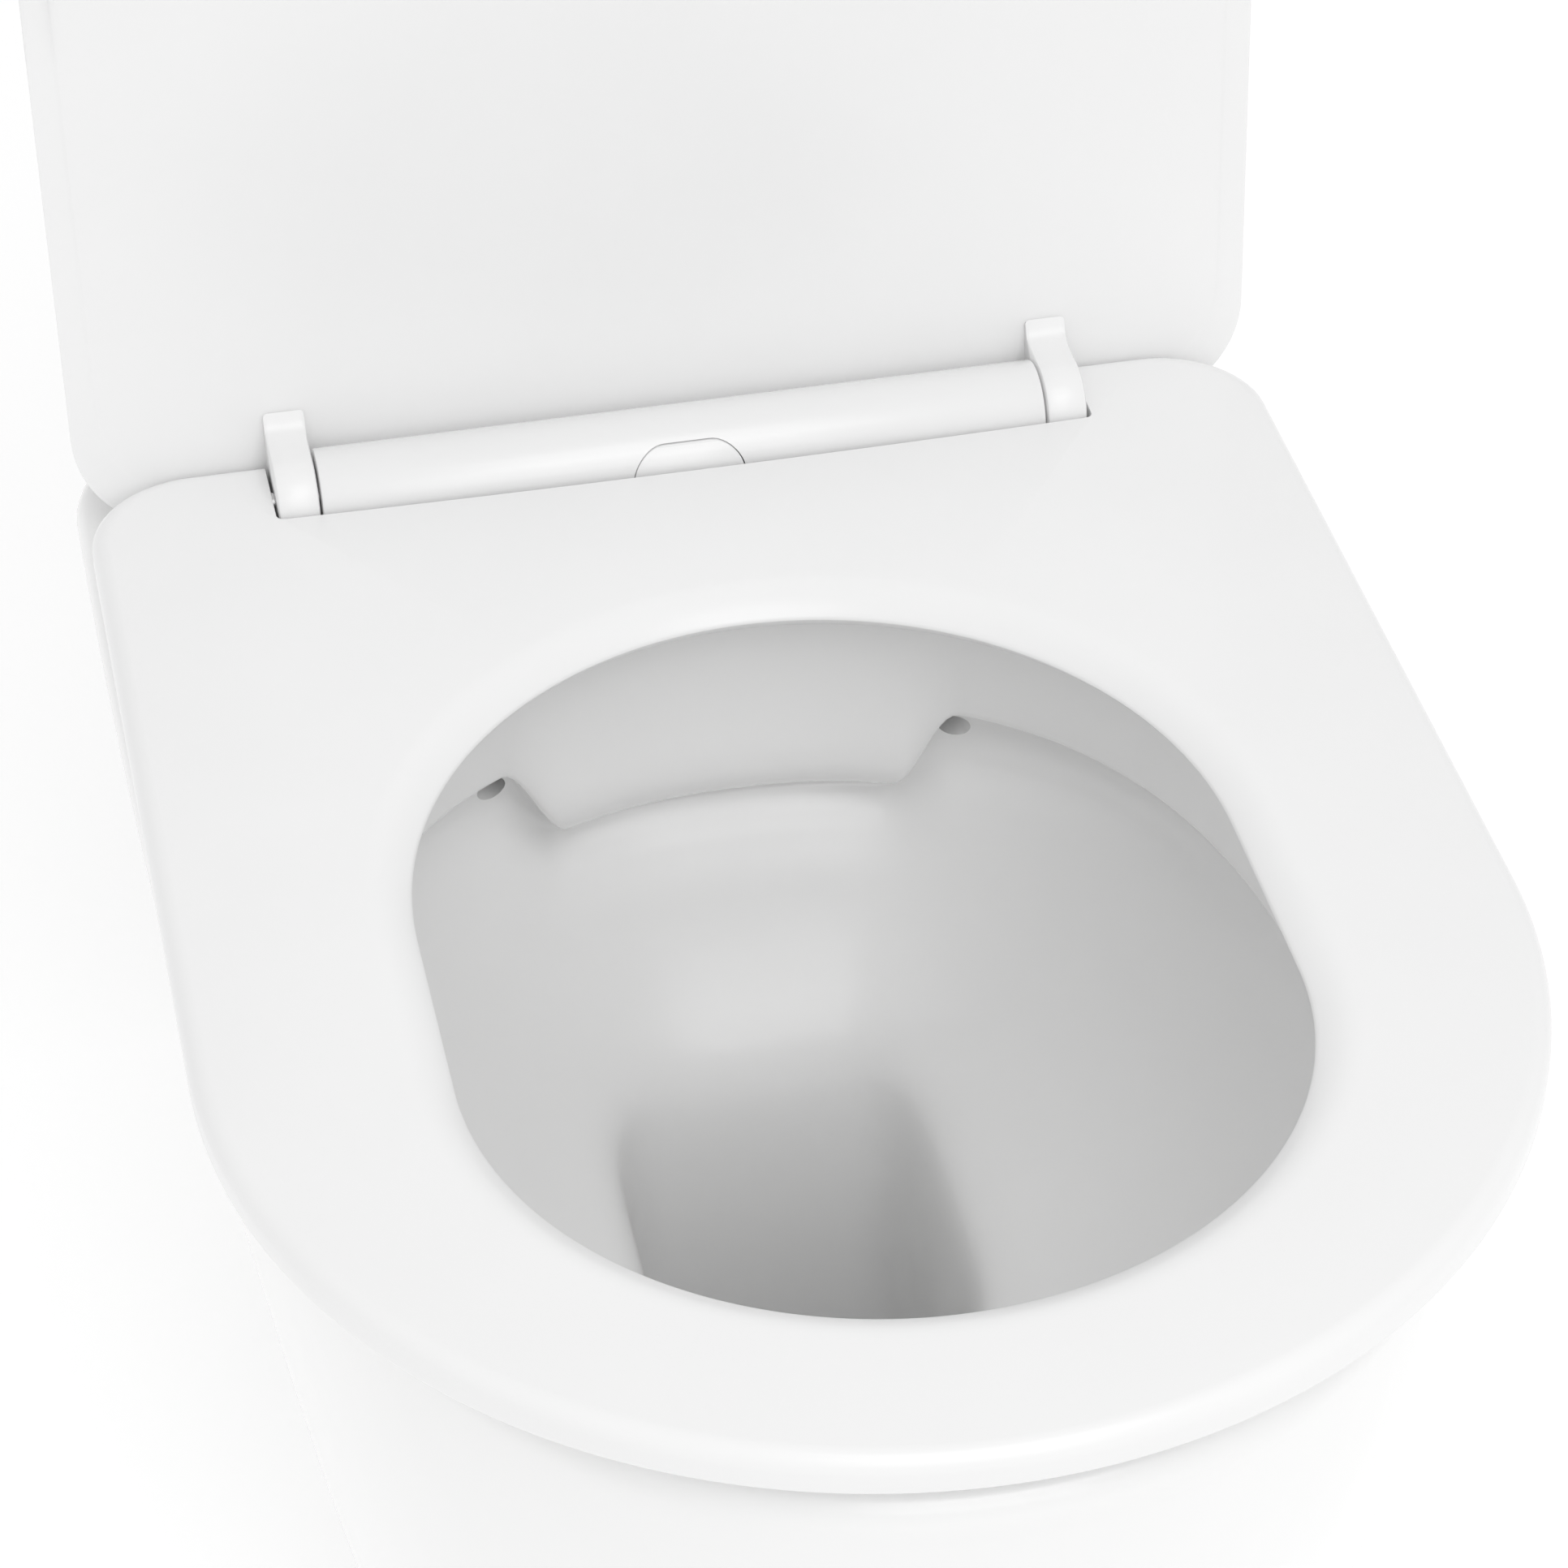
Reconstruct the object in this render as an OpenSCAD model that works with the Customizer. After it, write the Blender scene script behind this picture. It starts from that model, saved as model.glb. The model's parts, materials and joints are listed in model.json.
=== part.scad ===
// Close-coupled toilet: rimless pan, cistern with dual-flush valve and float
// valve, and a slim soft-close seat and lid on a quick-release hinge bar.
// Millimetres, +Z up, front towards -Y, origin on the floor under the middle.

/* [Pan] */
// Height of the ceramic rim above the floor
pan_h = 400; // [380:1:420]
// Overall depth from the front of the seat to the back of the cistern
depth = 655; // [640:1:680]
// Widest half-width of the pan, beside the hinge
pan_hw = 183.5; // [182:0.5:186]
// Half-width of the pan at the floor
foot_hw = 111; // [105:1:120]
// Half-width of the narrow rear part that carries the cistern
platform_hw = 106; // [98:1:106]
// Ceramic wall thickness
wall = 11; // [10:0.5:12]
// Height of the outlet centre above the floor
outlet_z = 190; // [180:1:195]
// Outer radius of the outlet spigot
outlet_r = 51; // [50:0.5:53]

/* [Seat and lid] */
// Width of the seat ring
seat_w = 360; // [356:1:364]
// Thickness of the seat ring
seat_t = 13; // [12:0.5:14]
// Gap between the rim and the seat ring, filled by the buffers
seat_gap = 8; // [8:0.5:9]
// Half-width of the notch in the rear of the seat ring
notch_hw = 125; // [124.6:0.1:126]
// Thickness of each lid arm
arm_t = 12.3; // [11.5:0.1:12.5]
// Radius of the hinge barrel and of the lid arms round the pivot
barrel_r = 14.5; // [14:0.1:14.6]
// Opening angle of the lid from closed to its stop
lid_open = 96; // [94:1:97]
// Largest opening angle of the seat ring
seat_open = 94; // [90:1:94]
// Distance between the two seat fixing studs
stud_spacing = 155; // [150:1:158]

/* [Cistern] */
// Width of the cistern tank
tank_w = 335; // [330:1:336]
// Height of the cistern tank without its lid
tank_h = 350; // [340:1:352]
// Depth of the cistern tank
tank_d = 158; // [154:1:158]
// Distance between the two coupling bolts
bolt_spacing = 150; // [146:1:154]

/* [Hidden] */

ceramic = "whitesmoke";
duroplast = "white";
plastic = "gainsboro";
rubber = "dimgray";
steel = "silver";

// Shared levels and positions
y_front = -depth / 2;
y_back = depth / 2;
seat_bot = pan_h + seat_gap;
seat_top = seat_bot + seat_t;
axis_y = y_front + 425.5;        // pivot line of the lid and the seat
axis_z = seat_top - 5;
notch_y = axis_y - 15.5;         // front edge of the notch in the seat
arm_out = notch_hw - 1;
arm_in = arm_out - arm_t;
bar_hw = arm_in - 0.8;
stud_x = stud_spacing / 2;
pin_r = 3;
run = 0.05;                      // radial clearance of a running fit

tank_z = pan_h + 8;
tank_floor = tank_z + 12;
tank_top = tank_z + tank_h;
tank_y = y_back - tank_d / 2;    // middle of the tank
valve_y = tank_y;                // flush valve, coupling bolts and fill valve
fill_x = -134;
lid_z = tank_top;                // underside of the cistern lid's edge
lid_h = 32;
lid_top = lid_z + lid_h;
slab = 14;                       // thickness of the platform under the cistern

// ---- outlines and lofts ------------------------------------------------

function mix(a, b, t) = a + (b - a) * t;
function ease(t) = let (u = min(1, max(0, t))) u * u * (3 - 2 * u);
function spow(v, e) = sign(v) * pow(abs(v), e);
function at_z(points, z) = [for (p = points) [p[0], p[1], z]];
// Quarter arc as [inset, height] pairs, from the side up to the top
function edge_up(r, top, steps) =
    [for (i = [0:steps]) [r - r * cos(90 * i / steps), top - r + r * sin(90 * i / steps)]];
function edge_down(r, bottom, steps) =
    [for (i = [steps:-1:0]) [r - r * cos(90 * i / steps), bottom + r - r * sin(90 * i / steps)]];

front_n = 24;                    // steps round the front of an outline
corner_n = 5;                    // steps round a rear corner

// Front curve of an outline: a superellipse from +hw round to -hw
function front_arc(hw, y_start, y_tip, n) =
    [for (i = [0:front_n]) let (t = 180 * i / front_n)
        [hw * spow(cos(t), 2 / n), y_start - (y_start - y_tip) * pow(sin(t), 2 / n)]];

// D-shaped outline with straight sides and elliptical rear corners
function d_outline(hw, y_tip, y_start, y_rear, n, cx, cy) = concat(
    front_arc(hw, y_start, y_tip, n),
    [for (i = [0:corner_n]) let (t = 90 * i / corner_n)
        [-hw + cx - cx * cos(t), y_rear - cy + cy * sin(t)]],
    [for (i = [corner_n:-1:0]) let (t = 90 * i / corner_n)
        [hw - cx + cx * cos(t), y_rear - cy + cy * sin(t)]]);

// Stack of rings with the same number of points; closed in a loop or capped
module loft(rings, loop = false, cap_a = [0, 0, 0], cap_b = [0, 0, 0]) {
    n = len(rings[0]);
    m = len(rings);
    pts = [for (r = rings) each r];
    side = [for (k = [0:(loop ? m - 1 : m - 2)], i = [0:n - 1])
        let (a = k * n + i, b = k * n + (i + 1) % n,
             c = ((k + 1) % m) * n + (i + 1) % n, d = ((k + 1) % m) * n + i)
        each [[a, b, c], [a, c, d]]];
    ends = loop ? [] : [for (i = [0:n - 1]) let (j = (i + 1) % n)
        each [[m * n, j, i], [m * n + 1, (m - 1) * n + i, (m - 1) * n + j]]];
    polyhedron(loop ? pts : concat(pts, [cap_a, cap_b]), concat(side, ends), convexity = 10);
}

// Rectangle with round corners, centred in X, from y0 to y1
module round_rect(w, y0, y1, r_front, r_rear) {
    hw = w / 2;
    translate([-hw, y0 + r_front]) square([w, y1 - y0 - r_front - r_rear]);
    translate([-hw + r_front, y0]) square([w - 2 * r_front, r_front + 0.01]);
    translate([-hw + r_rear, y1 - r_rear - 0.01]) square([w - 2 * r_rear, r_rear + 0.01]);
    for (s = [-1, 1]) {
        translate([s * (hw - r_front), y0 + r_front]) circle(r = r_front, $fn = 64);
        translate([s * (hw - r_rear), y1 - r_rear]) circle(r = r_rear, $fn = 64);
    }
}

module tube(r_out, r_in, h) {
    difference() {
        cylinder(r = r_out, h = h, $fn = 64);
        translate([0, 0, -1]) cylinder(r = r_in, h = h + 2, $fn = 64);
    }
}

module at_pivot() { translate([0, axis_y, axis_z]) children(); }
// A cylinder along X from x0 to x1, centred on the origin in Y and Z
module x_rod(r, x0, x1) { translate([x0, 0, 0]) rotate([0, 90, 0]) cylinder(r = r, h = x1 - x0, $fn = 64); }

// ---- pan ---------------------------------------------------------------

bulge_y = axis_y + 4.5;          // where the pan is widest
side_y = bulge_y - 165;          // where the front curve starts
side_steps = 14;

function pan_half(z) = let (t = (pan_h - z) / pan_h) mix(pan_hw, foot_hw, 0.81 * t + 0.19 * t * t);
function pan_tip(z) = let (t = (pan_h - z) / pan_h) y_front + 2.6 + 72.2 * t + 114.8 * t * t;
function pan_n(z) = 2.1 + 0.7 * min(1, (pan_h - z) / 160);
// Half-width at y: widest beside the hinge, narrower forwards and at the rear
function pan_side(z, y, w) =
    let (hw = pan_half(z) - w, rear = min(pan_half(z) - 3, platform_hw) - w,
         fwd = min(1, max(0, (bulge_y - y) / 165)))
    mix(hw * (1 - 0.018 * fwd * fwd), rear, ease((y - 135) / 115));
// Outline of the pan at height z, inset by w
function pan_ring(z, w) =
    let (y0 = side_y, y1 = y_back - w, ys = [for (i = [1:side_steps]) mix(y0, y1 - 8, i / side_steps)])
    at_z(concat(front_arc(pan_side(z, y0, w), y0, pan_tip(z) + w, pan_n(z)),
        [for (y = ys) [-pan_side(z, y, w), y]],
        [[-pan_side(z, y1, w) + 8, y1], [pan_side(z, y1, w) - 8, y1]],
        [for (i = [side_steps - 1:-1:0]) [pan_side(z, ys[i], w), ys[i]]]), z);

// Bowl levels: height, half-width, rear end, front end, rear squareness
bowl = [[400, 142, 44.5, -293, 2.4], [397, 136.4, 39, -287.5, 2.4], [363.6, 136.6, 38.8, -287, 2.4],
    [360.6, 140.4, 42.4, -286, 2.4], [352, 143.4, 45, -284, 2.4], [340, 142, 44.5, -280, 2.4],
    [320, 135, 40.5, -271, 2.4], [300, 122, 33, -253, 2.45], [285, 107.5, 24.5, -234, 2.55],
    [272, 90, 15.5, -211, 2.75], [262, 72, 7.5, -187, 3.1], [253, 55, 0, -160, 3.8],
    [244, 48.8, -4.5, -145, 4.6], [225, 46.2, -10, -134, 5], [170, 44, -19, -120, 4],
    [118, 38.5, -24.5, -94, 2.7], [86, 25, -35, -64, 2.3], [80, 13, -43, -54, 2.1]];
lip_row = 2;                     // last level of the lip, above the hidden ledge
under_row = 5;                   // first level backed by the bowl's own wall
function bowl_z(b) = b[0] * pan_h / 400;
bowl_mid = 0.52;                 // where the widest line lies between the ends
bowl_wall = wall - 2;
bowl_drop = 5;                   // the sloping part is also this much thicker underneath
rear_steps = 2 * side_steps + 2;
// Bowl outline for one level, grown by g
function bowl_ring(b, g, z) =
    let (yr = b[2] + g, yf = b[3] - g, ym = mix(yr, yf, bowl_mid), hw = b[1] + g, n = b[4])
    at_z(concat(front_arc(hw, ym, yf, 2.1),
        [for (i = [1:rear_steps]) let (t = 180 * i / (rear_steps + 1))
            [-hw * spow(cos(t), 2 / n), ym + (yr - ym) * pow(sin(t), 2 / n)]]), z);

module pan_shell() {
    last = len(bowl) - 1;
    under = [for (k = [last:-1:under_row])
        bowl_ring(bowl[k], bowl_wall, bowl_z(bowl[k]) - (k == last ? 10 : k > under_row ? bowl_drop : 0))];
    inner = [for (z = [pan_h - slab, 350, 300, 230, 150, 70, 0]) pan_ring(z, wall + (z > 350 ? 2 : 0))];
    outer = [for (z = [3, 70, 150, 230, 300, 345, 375]) pan_ring(z, 0)];
    edge = [for (e = edge_up(12, pan_h, 4)) pan_ring(e[1], e[0])];
    inside = [for (b = bowl) bowl_ring(b, 0, bowl_z(b))];
    ceiling = bowl_ring(bowl[lip_row], wall + 2, pan_h - slab);
    rings = concat(under, [ceiling], inner, [pan_ring(0, 1.5)], outer, edge, inside);
    mid = (bowl[last][2] + bowl[last][3]) / 2;
    sump_z = bowl_z(bowl[last]);
    loft(rings, cap_a = [0, mid, sump_z - 12], cap_b = [0, mid, sump_z - 2]);
}

trap_r = 36;                     // bore of the trapway
trap_z = 112;                    // height where the trapway leaves the sump
trap_y = -34;                    // where its passage starts, inside the sump
trap_wall_y = -17;               // where its wall starts, in the rear wall of the sump
trap_bend = 50;                  // radius of both bends
trap_rise = 24;                  // straight part of the rising leg
riser_y = 95;                    // rising leg behind the bowl
outlet_y = riser_y + trap_bend + 52;
hub_y = 257;                     // end of the thicker root of the spigot
// Stations of the trapway: y, z and the lean of the section from level
function trap_path(y_start) = concat([[y_start, trap_z, 90]],
    [for (a = [0:22.5:90])
        [riser_y - trap_bend * (1 - sin(a)), trap_z + trap_bend * (1 - cos(a)), 90 - a]],
    [for (a = [0:22.5:90])
        [riser_y + trap_bend * (1 - cos(a)), trap_z + trap_bend + trap_rise + trap_bend * sin(a), a]],
    [for (t = [0.25:0.25:1])
        [mix(riser_y + trap_bend, outlet_y, t),
            mix(trap_z + 2 * trap_bend + trap_rise, outlet_z, ease(t)), 90]]);

// Trapway of radius r, grown to the spigot's size towards its end
module trapway(r, r_end, y_start) {
    path = trap_path(y_start);
    last = len(path) - 1;
    rings = [for (k = [0:last]) let (p = path[k], q = mix(r, r_end, ease((k - 10) / (last - 10))))
        [for (i = [0:27]) let (t = 360 * i / 28)
            [q * cos(t), p[0] - q * sin(t) * cos(p[2]), p[1] + q * sin(t) * sin(p[2])]]];
    loft(rings, cap_a = [0, path[0][0], path[0][1]], cap_b = [0, path[last][0], path[last][1]]);
}

// Deflector that turns the flush water round the bowl: a block with round lower corners
deflector_y = 27;
module deflector() {
    hw = 68;
    r = 14;
    low = pan_h - 70;
    translate([0, deflector_y + 50, low]) rotate([90, 0, 0]) linear_extrude(50) {
        translate([-hw, r]) square([2 * hw, 63 - r]);
        translate([r - hw, 0]) square([2 * (hw - r), 63]);
        for (s = [-1, 1]) translate([s * (hw - r), r]) circle(r = r, $fn = 64);
    }
}

module pan() {
    duct_z = pan_h - 65;
    port_z = pan_h - 53;
    color(ceramic) difference() {
        union() {
            difference() {
                pan_shell();
                // access opening in the rear wall
                translate([-84, y_back - 40, -1]) cube([168, 60, 316]);
            }
            // trapway walls and the outlet spigot
            trapway(trap_r + 8, outlet_r - 2, trap_wall_y);
            translate([-trap_r - 8, trap_y + 4, trap_z - trap_r - 10])
                cube([2 * trap_r + 16, trap_wall_y - trap_y + 3, trap_r + 10]);
            translate([0, outlet_y - 8, outlet_z]) rotate([-90, 0, 0]) {
                cylinder(r = outlet_r, h = y_back - outlet_y, $fn = 96);
                cylinder(r = outlet_r + 5, h = hub_y - outlet_y + 8, $fn = 96);
            }
            // flush duct under the platform, and its deflector in the bowl
            translate([-46, 50, duct_z]) cube([92, 235, 57]);
            deflector();
            // floor lugs inside the foot
            for (s = [-1, 1]) translate([s * 80 - 21, 236, 0.2]) cube([42, 44, 14]);
        }
        // trapway passage
        trapway(trap_r, outlet_r - 9, trap_y);
        translate([0, outlet_y - 1, outlet_z]) rotate([-90, 0, 0])
            cylinder(r = outlet_r - 8, h = 300, $fn = 96);
        // flush duct passage, the inlet from the cistern and the two ports
        translate([-38, 60, duct_z + 8]) cube([76, 217, 40]);
        translate([-58, deflector_y + 7, pan_h - 59]) cube([116, 34, 34]);
        translate([0, valve_y, pan_h - 30]) cylinder(r = 34, h = 40, $fn = 96);
        for (s = [-1, 1]) translate([s * 50, 54, port_z]) rotate([90, 0, s * 48])
            cylinder(r = 4, h = 42, $fn = 48);
        // coupling bolt holes, seat stud holes and floor screw holes
        for (s = [-1, 1]) {
            translate([s * bolt_spacing / 2, valve_y, pan_h - 30]) cylinder(r = 6, h = 40, $fn = 48);
            translate([s * stud_x, axis_y, pan_h - 30]) cylinder(r = 7.5, h = 40, $fn = 48);
            translate([s * 80, 262, -1]) cylinder(r = 4.5, h = 30, $fn = 48);
        }
    }
}

// ---- cistern -----------------------------------------------------------

module cistern_tank() {
    t = 9;
    y0 = y_back - tank_d;
    color(ceramic) difference() {
        translate([0, 0, tank_z]) linear_extrude(tank_h) round_rect(tank_w, y0, y_back, 34, 14);
        translate([0, 0, tank_floor]) linear_extrude(tank_h)
            round_rect(tank_w - 2 * t, y0 + t, y_back - t, 25, 8);
        translate([0, valve_y, tank_z - 1]) cylinder(r = 31.5, h = 20, $fn = 96);
        for (s = [-1, 1]) {
            translate([s * bolt_spacing / 2, valve_y, tank_z - 1]) cylinder(r = 6, h = 20, $fn = 48);
            // wall fixing holes
            translate([s * 110, y_back - 20, tank_top - 60]) rotate([-90, 0, 0]) cylinder(r = 4, h = 30, $fn = 48);
        }
        translate([fill_x, valve_y, tank_z - 1]) cylinder(r = 11.3, h = 20, $fn = 48);
    }
}

bezel_r = 33;
module cistern_lid() {
    over = 3;
    y0 = y_back - tank_d - over;
    color(ceramic) difference() {
        translate([0, 0, lid_z]) linear_extrude(lid_h) round_rect(tank_w + 2 * over, y0, y_back, 37, 15);
        // hollow underside with a locating rim that sits inside the tank
        translate([0, 0, lid_z - 1]) linear_extrude(lid_h - 9)
            round_rect(tank_w - 10, y0 + over + 6, y_back - 6, 30, 10);
        translate([0, tank_y, lid_z]) cylinder(r = 29, h = 60, $fn = 96);
    }
    color(ceramic) translate([0, 0, lid_z - 8]) linear_extrude(lid_h - 2) difference() {
        round_rect(tank_w - 19.4, y_back - tank_d + 9.8, y_back - 9.8, 24, 8);
        round_rect(tank_w - 31.4, y_back - tank_d + 15.8, y_back - 15.8, 20, 6);
    }
}

module coupling_gasket() {
    color(rubber) translate([0, valve_y, pan_h]) tube(50, 40.5, tank_z - pan_h);
}

module each_bolt(z) { for (s = [-1, 1]) translate([s * bolt_spacing / 2, valve_y, z]) children(); }

module coupling_bolts() {
    color(steel) each_bolt(tank_floor + 4) {
        translate([0, 0, -78]) cylinder(r = 4, h = 78.5, $fn = 48);
        difference() {
            cylinder(r = 10, h = 5, $fn = 64);
            translate([-11, -1, 3]) cube([22, 2, 3]);
        }
    }
}
module coupling_seals() { color(rubber) each_bolt(tank_floor) tube(12, 4.1, 4); }
module coupling_pads() { color(rubber) each_bolt(pan_h) tube(12, 4.1, tank_z - pan_h); }
module coupling_washers() { color(steel) each_bolt(pan_h - slab - 1.6) tube(12, 4.1, 1.6); }
module coupling_wing_nuts() {
    color(steel) each_bolt(pan_h - slab - 12) difference() {
        union() {
            cylinder(r = 8, h = 10.2, $fn = 48);
            translate([-15, -1.5, 0]) cube([30, 3, 9]);
        }
        translate([0, 0, -1]) cylinder(r = 4.05, h = 14, $fn = 48);
    }
}

// ---- flush valve -------------------------------------------------------

tube_r = 14;
valve_seat_z = tank_floor + 10;
deck_z = tank_floor + 226;       // deck that carries the flush lever
lever_x = 27;                    // pivot of the flush lever
lever_z = deck_z + 13;

module flush_valve_basket() {
    color(plastic) translate([0, valve_y, 0]) {
        // threaded tail, flange and valve seat
        translate([0, 0, pan_h - 26]) tube(29.5, 24, tank_floor + 10 - pan_h + 26);
        translate([0, 0, tank_floor + 4]) tube(39, 24, 4);
        // four legs up to the guide deck
        for (a = [45:90:315]) rotate([0, 0, a])
            translate([33, -4, tank_floor + 7]) cube([4, 8, deck_z - tank_floor - 6]);
        translate([0, 0, tank_floor + 100]) difference() {
            cylinder(r = 38, h = 4, $fn = 96);
            translate([0, 0, -1]) cylinder(r = 31, h = 6, $fn = 96);
        }
        translate([0, 0, deck_z]) tube(36, tube_r + run + 0.02, 5);
        // bearing ears of the flush lever
        for (s = [-1, 1]) difference() {
            translate([lever_x - 4, s * 22 - 1.5, deck_z]) cube([8, 3, 18]);
            translate([lever_x, s * 22 - 5, lever_z]) rotate([-90, 0, 0])
                cylinder(r = 2 + run, h = 10, $fn = 32);
        }
    }
}
module flush_valve_floor_seal() { color(rubber) translate([0, valve_y, tank_floor]) tube(39, 29.7, 4); }
module flush_valve_backnut() {
    color(plastic) translate([0, valve_y, tank_z - 7]) difference() {
        cylinder(r = 39.5, h = 7, $fn = 8);
        translate([0, 0, -1]) cylinder(r = 29.6, h = 9, $fn = 96);
    }
}
// Overflow tube that lifts to flush
module flush_valve_tube() {
    color(plastic) translate([0, valve_y, 0]) {
        translate([0, 0, valve_seat_z + 4]) tube(tube_r, tube_r - 2, deck_z - valve_seat_z + 34);
        translate([0, 0, valve_seat_z + 4]) tube(28, 13, 3);
        // collar that the flush lever lifts
        translate([0, 0, lever_z + 2]) tube(20, 13, 3);
    }
}
module flush_valve_disc_seal() { color(rubber) translate([0, valve_y, valve_seat_z]) tube(29, 13, 4); }
module flush_lever_pin() {
    color(steel) translate([lever_x, valve_y - 24.5, lever_z]) rotate([-90, 0, 0])
        cylinder(r = 2, h = 49, $fn = 32);
}
// Lever on the deck: the push rod presses its outer end, the fork lifts the tube
module flush_lever() {
    color(plastic) translate([lever_x, valve_y, lever_z]) difference() {
        union() {
            translate([0, -20, 0]) rotate([-90, 0, 0]) cylinder(r = 4, h = 40, $fn = 48);
            translate([0, -5, -1.5]) cube([15, 10, 3]);
            for (s = [-1, 1]) translate([-lever_x, s * 17.5 - 2, -1.5]) cube([lever_x, 4, 3]);
        }
        translate([0, -30, 0]) rotate([-90, 0, 0]) cylinder(r = 2 + run, h = 60, $fn = 32);
    }
}

// ---- fill valve --------------------------------------------------------

fill_top = tank_floor + 260;
shank_r = 10.8;
module fill_valve_body() {
    color(plastic) translate([fill_x, valve_y, 0]) {
        // inlet tail, and the thicker shank that passes the tank's floor
        translate([0, 0, tank_z - 42]) difference() {
            union() {
                cylinder(r = 10.4, h = 31, $fn = 64);
                translate([0, 0, 30]) cylinder(r = shank_r, h = 30, $fn = 64);
            }
            translate([0, 0, -1]) cylinder(r = 7, h = 50, $fn = 64);
        }
        translate([0, 0, tank_floor + 3]) cylinder(r = 15, h = 4, $fn = 64);
        translate([0, 0, tank_floor + 6]) cylinder(r = 9, h = fill_top - tank_floor - 6, $fn = 64);
        difference() {
            translate([0, 0, fill_top - 20]) cylinder(r = 15, h = 34, $fn = 64);
            translate([6, -3.3, fill_top + 2]) cube([12, 6.6, 14]);
            translate([11, -20, fill_top + 8]) rotate([-90, 0, 0]) cylinder(r = 1.5 + run, h = 40, $fn = 32);
        }
    }
}
module fill_valve_floor_seal() { color(rubber) translate([fill_x, valve_y, tank_floor]) tube(15, shank_r + 0.1, 3); }
module fill_valve_backnut() {
    color(plastic) translate([fill_x, valve_y, tank_z - 10]) difference() {
        cylinder(r = 15.5, h = 10, $fn = 6);
        translate([0, 0, -1]) cylinder(r = shank_r + 0.1, h = 12, $fn = 64);
    }
}
module inlet_filter() { color(plastic) translate([fill_x, valve_y, tank_z - 38]) tube(6.9, 5, 26); }
// Float cup that slides on the valve stem
float_z = fill_top - 110;
module fill_valve_float() {
    color(plastic) translate([fill_x, valve_y, float_z]) {
        difference() {
            union() {
                cylinder(r = 22, h = 60, $fn = 96);
                translate([0, -16, 0]) cube([46, 32, 60]);
            }
            translate([0, 0, -1]) cylinder(r = 9.1, h = 70, $fn = 64);
            translate([17, -13, -1]) cube([26, 26, 57]);
        }
        // adjusting rod up to the arm
        translate([39, 0, 56]) cylinder(r = 2, h = fill_top + 5.2 - float_z - 56, $fn = 32);
    }
}
module fill_valve_arm_pin() {
    color(steel) translate([fill_x + 11, valve_y - 14, fill_top + 8]) rotate([-90, 0, 0]) cylinder(r = 1.5, h = 28, $fn = 32);
}
// Arm from the valve head out to the float's rod
module fill_valve_arm() {
    color(plastic) translate([fill_x + 11, valve_y, fill_top + 8]) difference() {
        union() {
            translate([-3, -3, -2.5]) cube([37, 6, 5]);
            rotate([90, 0, 0]) translate([0, 0, -3]) cylinder(r = 3.5, h = 6, $fn = 32);
        }
        rotate([90, 0, 0]) translate([0, 0, -9]) cylinder(r = 1.5 + run, h = 18, $fn = 32);
    }
}

// ---- flush buttons -----------------------------------------------------

button_r = 26;
module button_bezel() {
    color(steel) translate([0, tank_y, 0]) {
        translate([0, 0, lid_top]) tube(bezel_r, button_r + 0.5, 3.5);
        translate([0, 0, lid_top - 30]) tube(28.5, button_r + 0.5, 31);
        // floor of the housing with guides for both rods
        difference() {
            translate([0, 0, lid_top - 30]) cylinder(r = 27, h = 3, $fn = 96);
            for (s = [-1, 1]) translate([s * 12, 0, lid_top - 40]) cylinder(r = 4 + run, h = 20, $fn = 48);
        }
    }
}
module button_backnut() {
    color(plastic) translate([0, tank_y, lid_top - 22]) tube(36, 28.6, 12);
}
// Part of the round button on one side of the split line
module button_half(side) {
    split = 4;
    translate([0, tank_y, 0]) {
        difference() {
            translate([0, 0, lid_top - 8]) cylinder(r = button_r, h = 11, $fn = 96);
            translate([0, 0, lid_top - 9]) cylinder(r = button_r - 2.5, h = 9.5, $fn = 96);
            translate([side > 0 ? -60 + split + 0.4 : split - 0.4, -50, lid_top - 20]) cube([60, 100, 40]);
        }
        translate([side * 12, 0, lid_top - 8]) tube(6, 4.1, 9);
    }
}
module full_flush_button() { color(steel) button_half(-1); }
module half_flush_button() { color(steel) button_half(1); }
// Rod under a button, from its boss down to just above the valve
module push_rod(side, bottom) {
    translate([side * 12, tank_y, bottom]) cylinder(r = 4, h = lid_top + 0.4 - bottom, $fn = 48);
}
module full_flush_rod() {
    bar_z = deck_z + 60;
    leg_z = lever_z + 2.2;
    color(plastic) {
        push_rod(-1, bar_z);
        // cranked foot that reaches the lever's outer end, over the overflow tube
        translate([-16, tank_y - 4, bar_z]) cube([58, 8, 5]);
        translate([38, tank_y - 4, leg_z]) cube([4, 8, bar_z - leg_z + 1]);
    }
}
module half_flush_rod() { color(plastic) push_rod(1, lid_top - 52); }
module button_spring(side) {
    translate([side * 12, tank_y, lid_top - 26.9]) tube(5.6, 4.5, 18.8);
}
module full_flush_spring() { color(steel) button_spring(-1); }
module half_flush_spring() { color(steel) button_spring(1); }

// ---- seat --------------------------------------------------------------

seat_rear = axis_y + 14.6;
seat_start = y_front + 178;
open_mid = y_front + 189.7;
open_hw = 114.8;
open_flat = 30.5;
open_front = 111.8;
open_rear = 124.2;

function seat_outline(inset) = d_outline(seat_w / 2 - inset, y_front + inset, seat_start,
    seat_rear - inset, 2, 30, 30);
// Opening of the seat, grown by g
function seat_opening(g) = concat(
    [for (i = [0:front_n]) let (t = 180 * i / front_n)
        [(open_hw + g) * cos(t), open_mid - open_flat - (open_front + g) * sin(t)]],
    [for (i = [0:2 * corner_n + 1]) let (t = 180 * i / (2 * corner_n + 1))
        [-(open_hw + g) * cos(t), open_mid + open_flat + (open_rear + g) * sin(t)]]);

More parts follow.
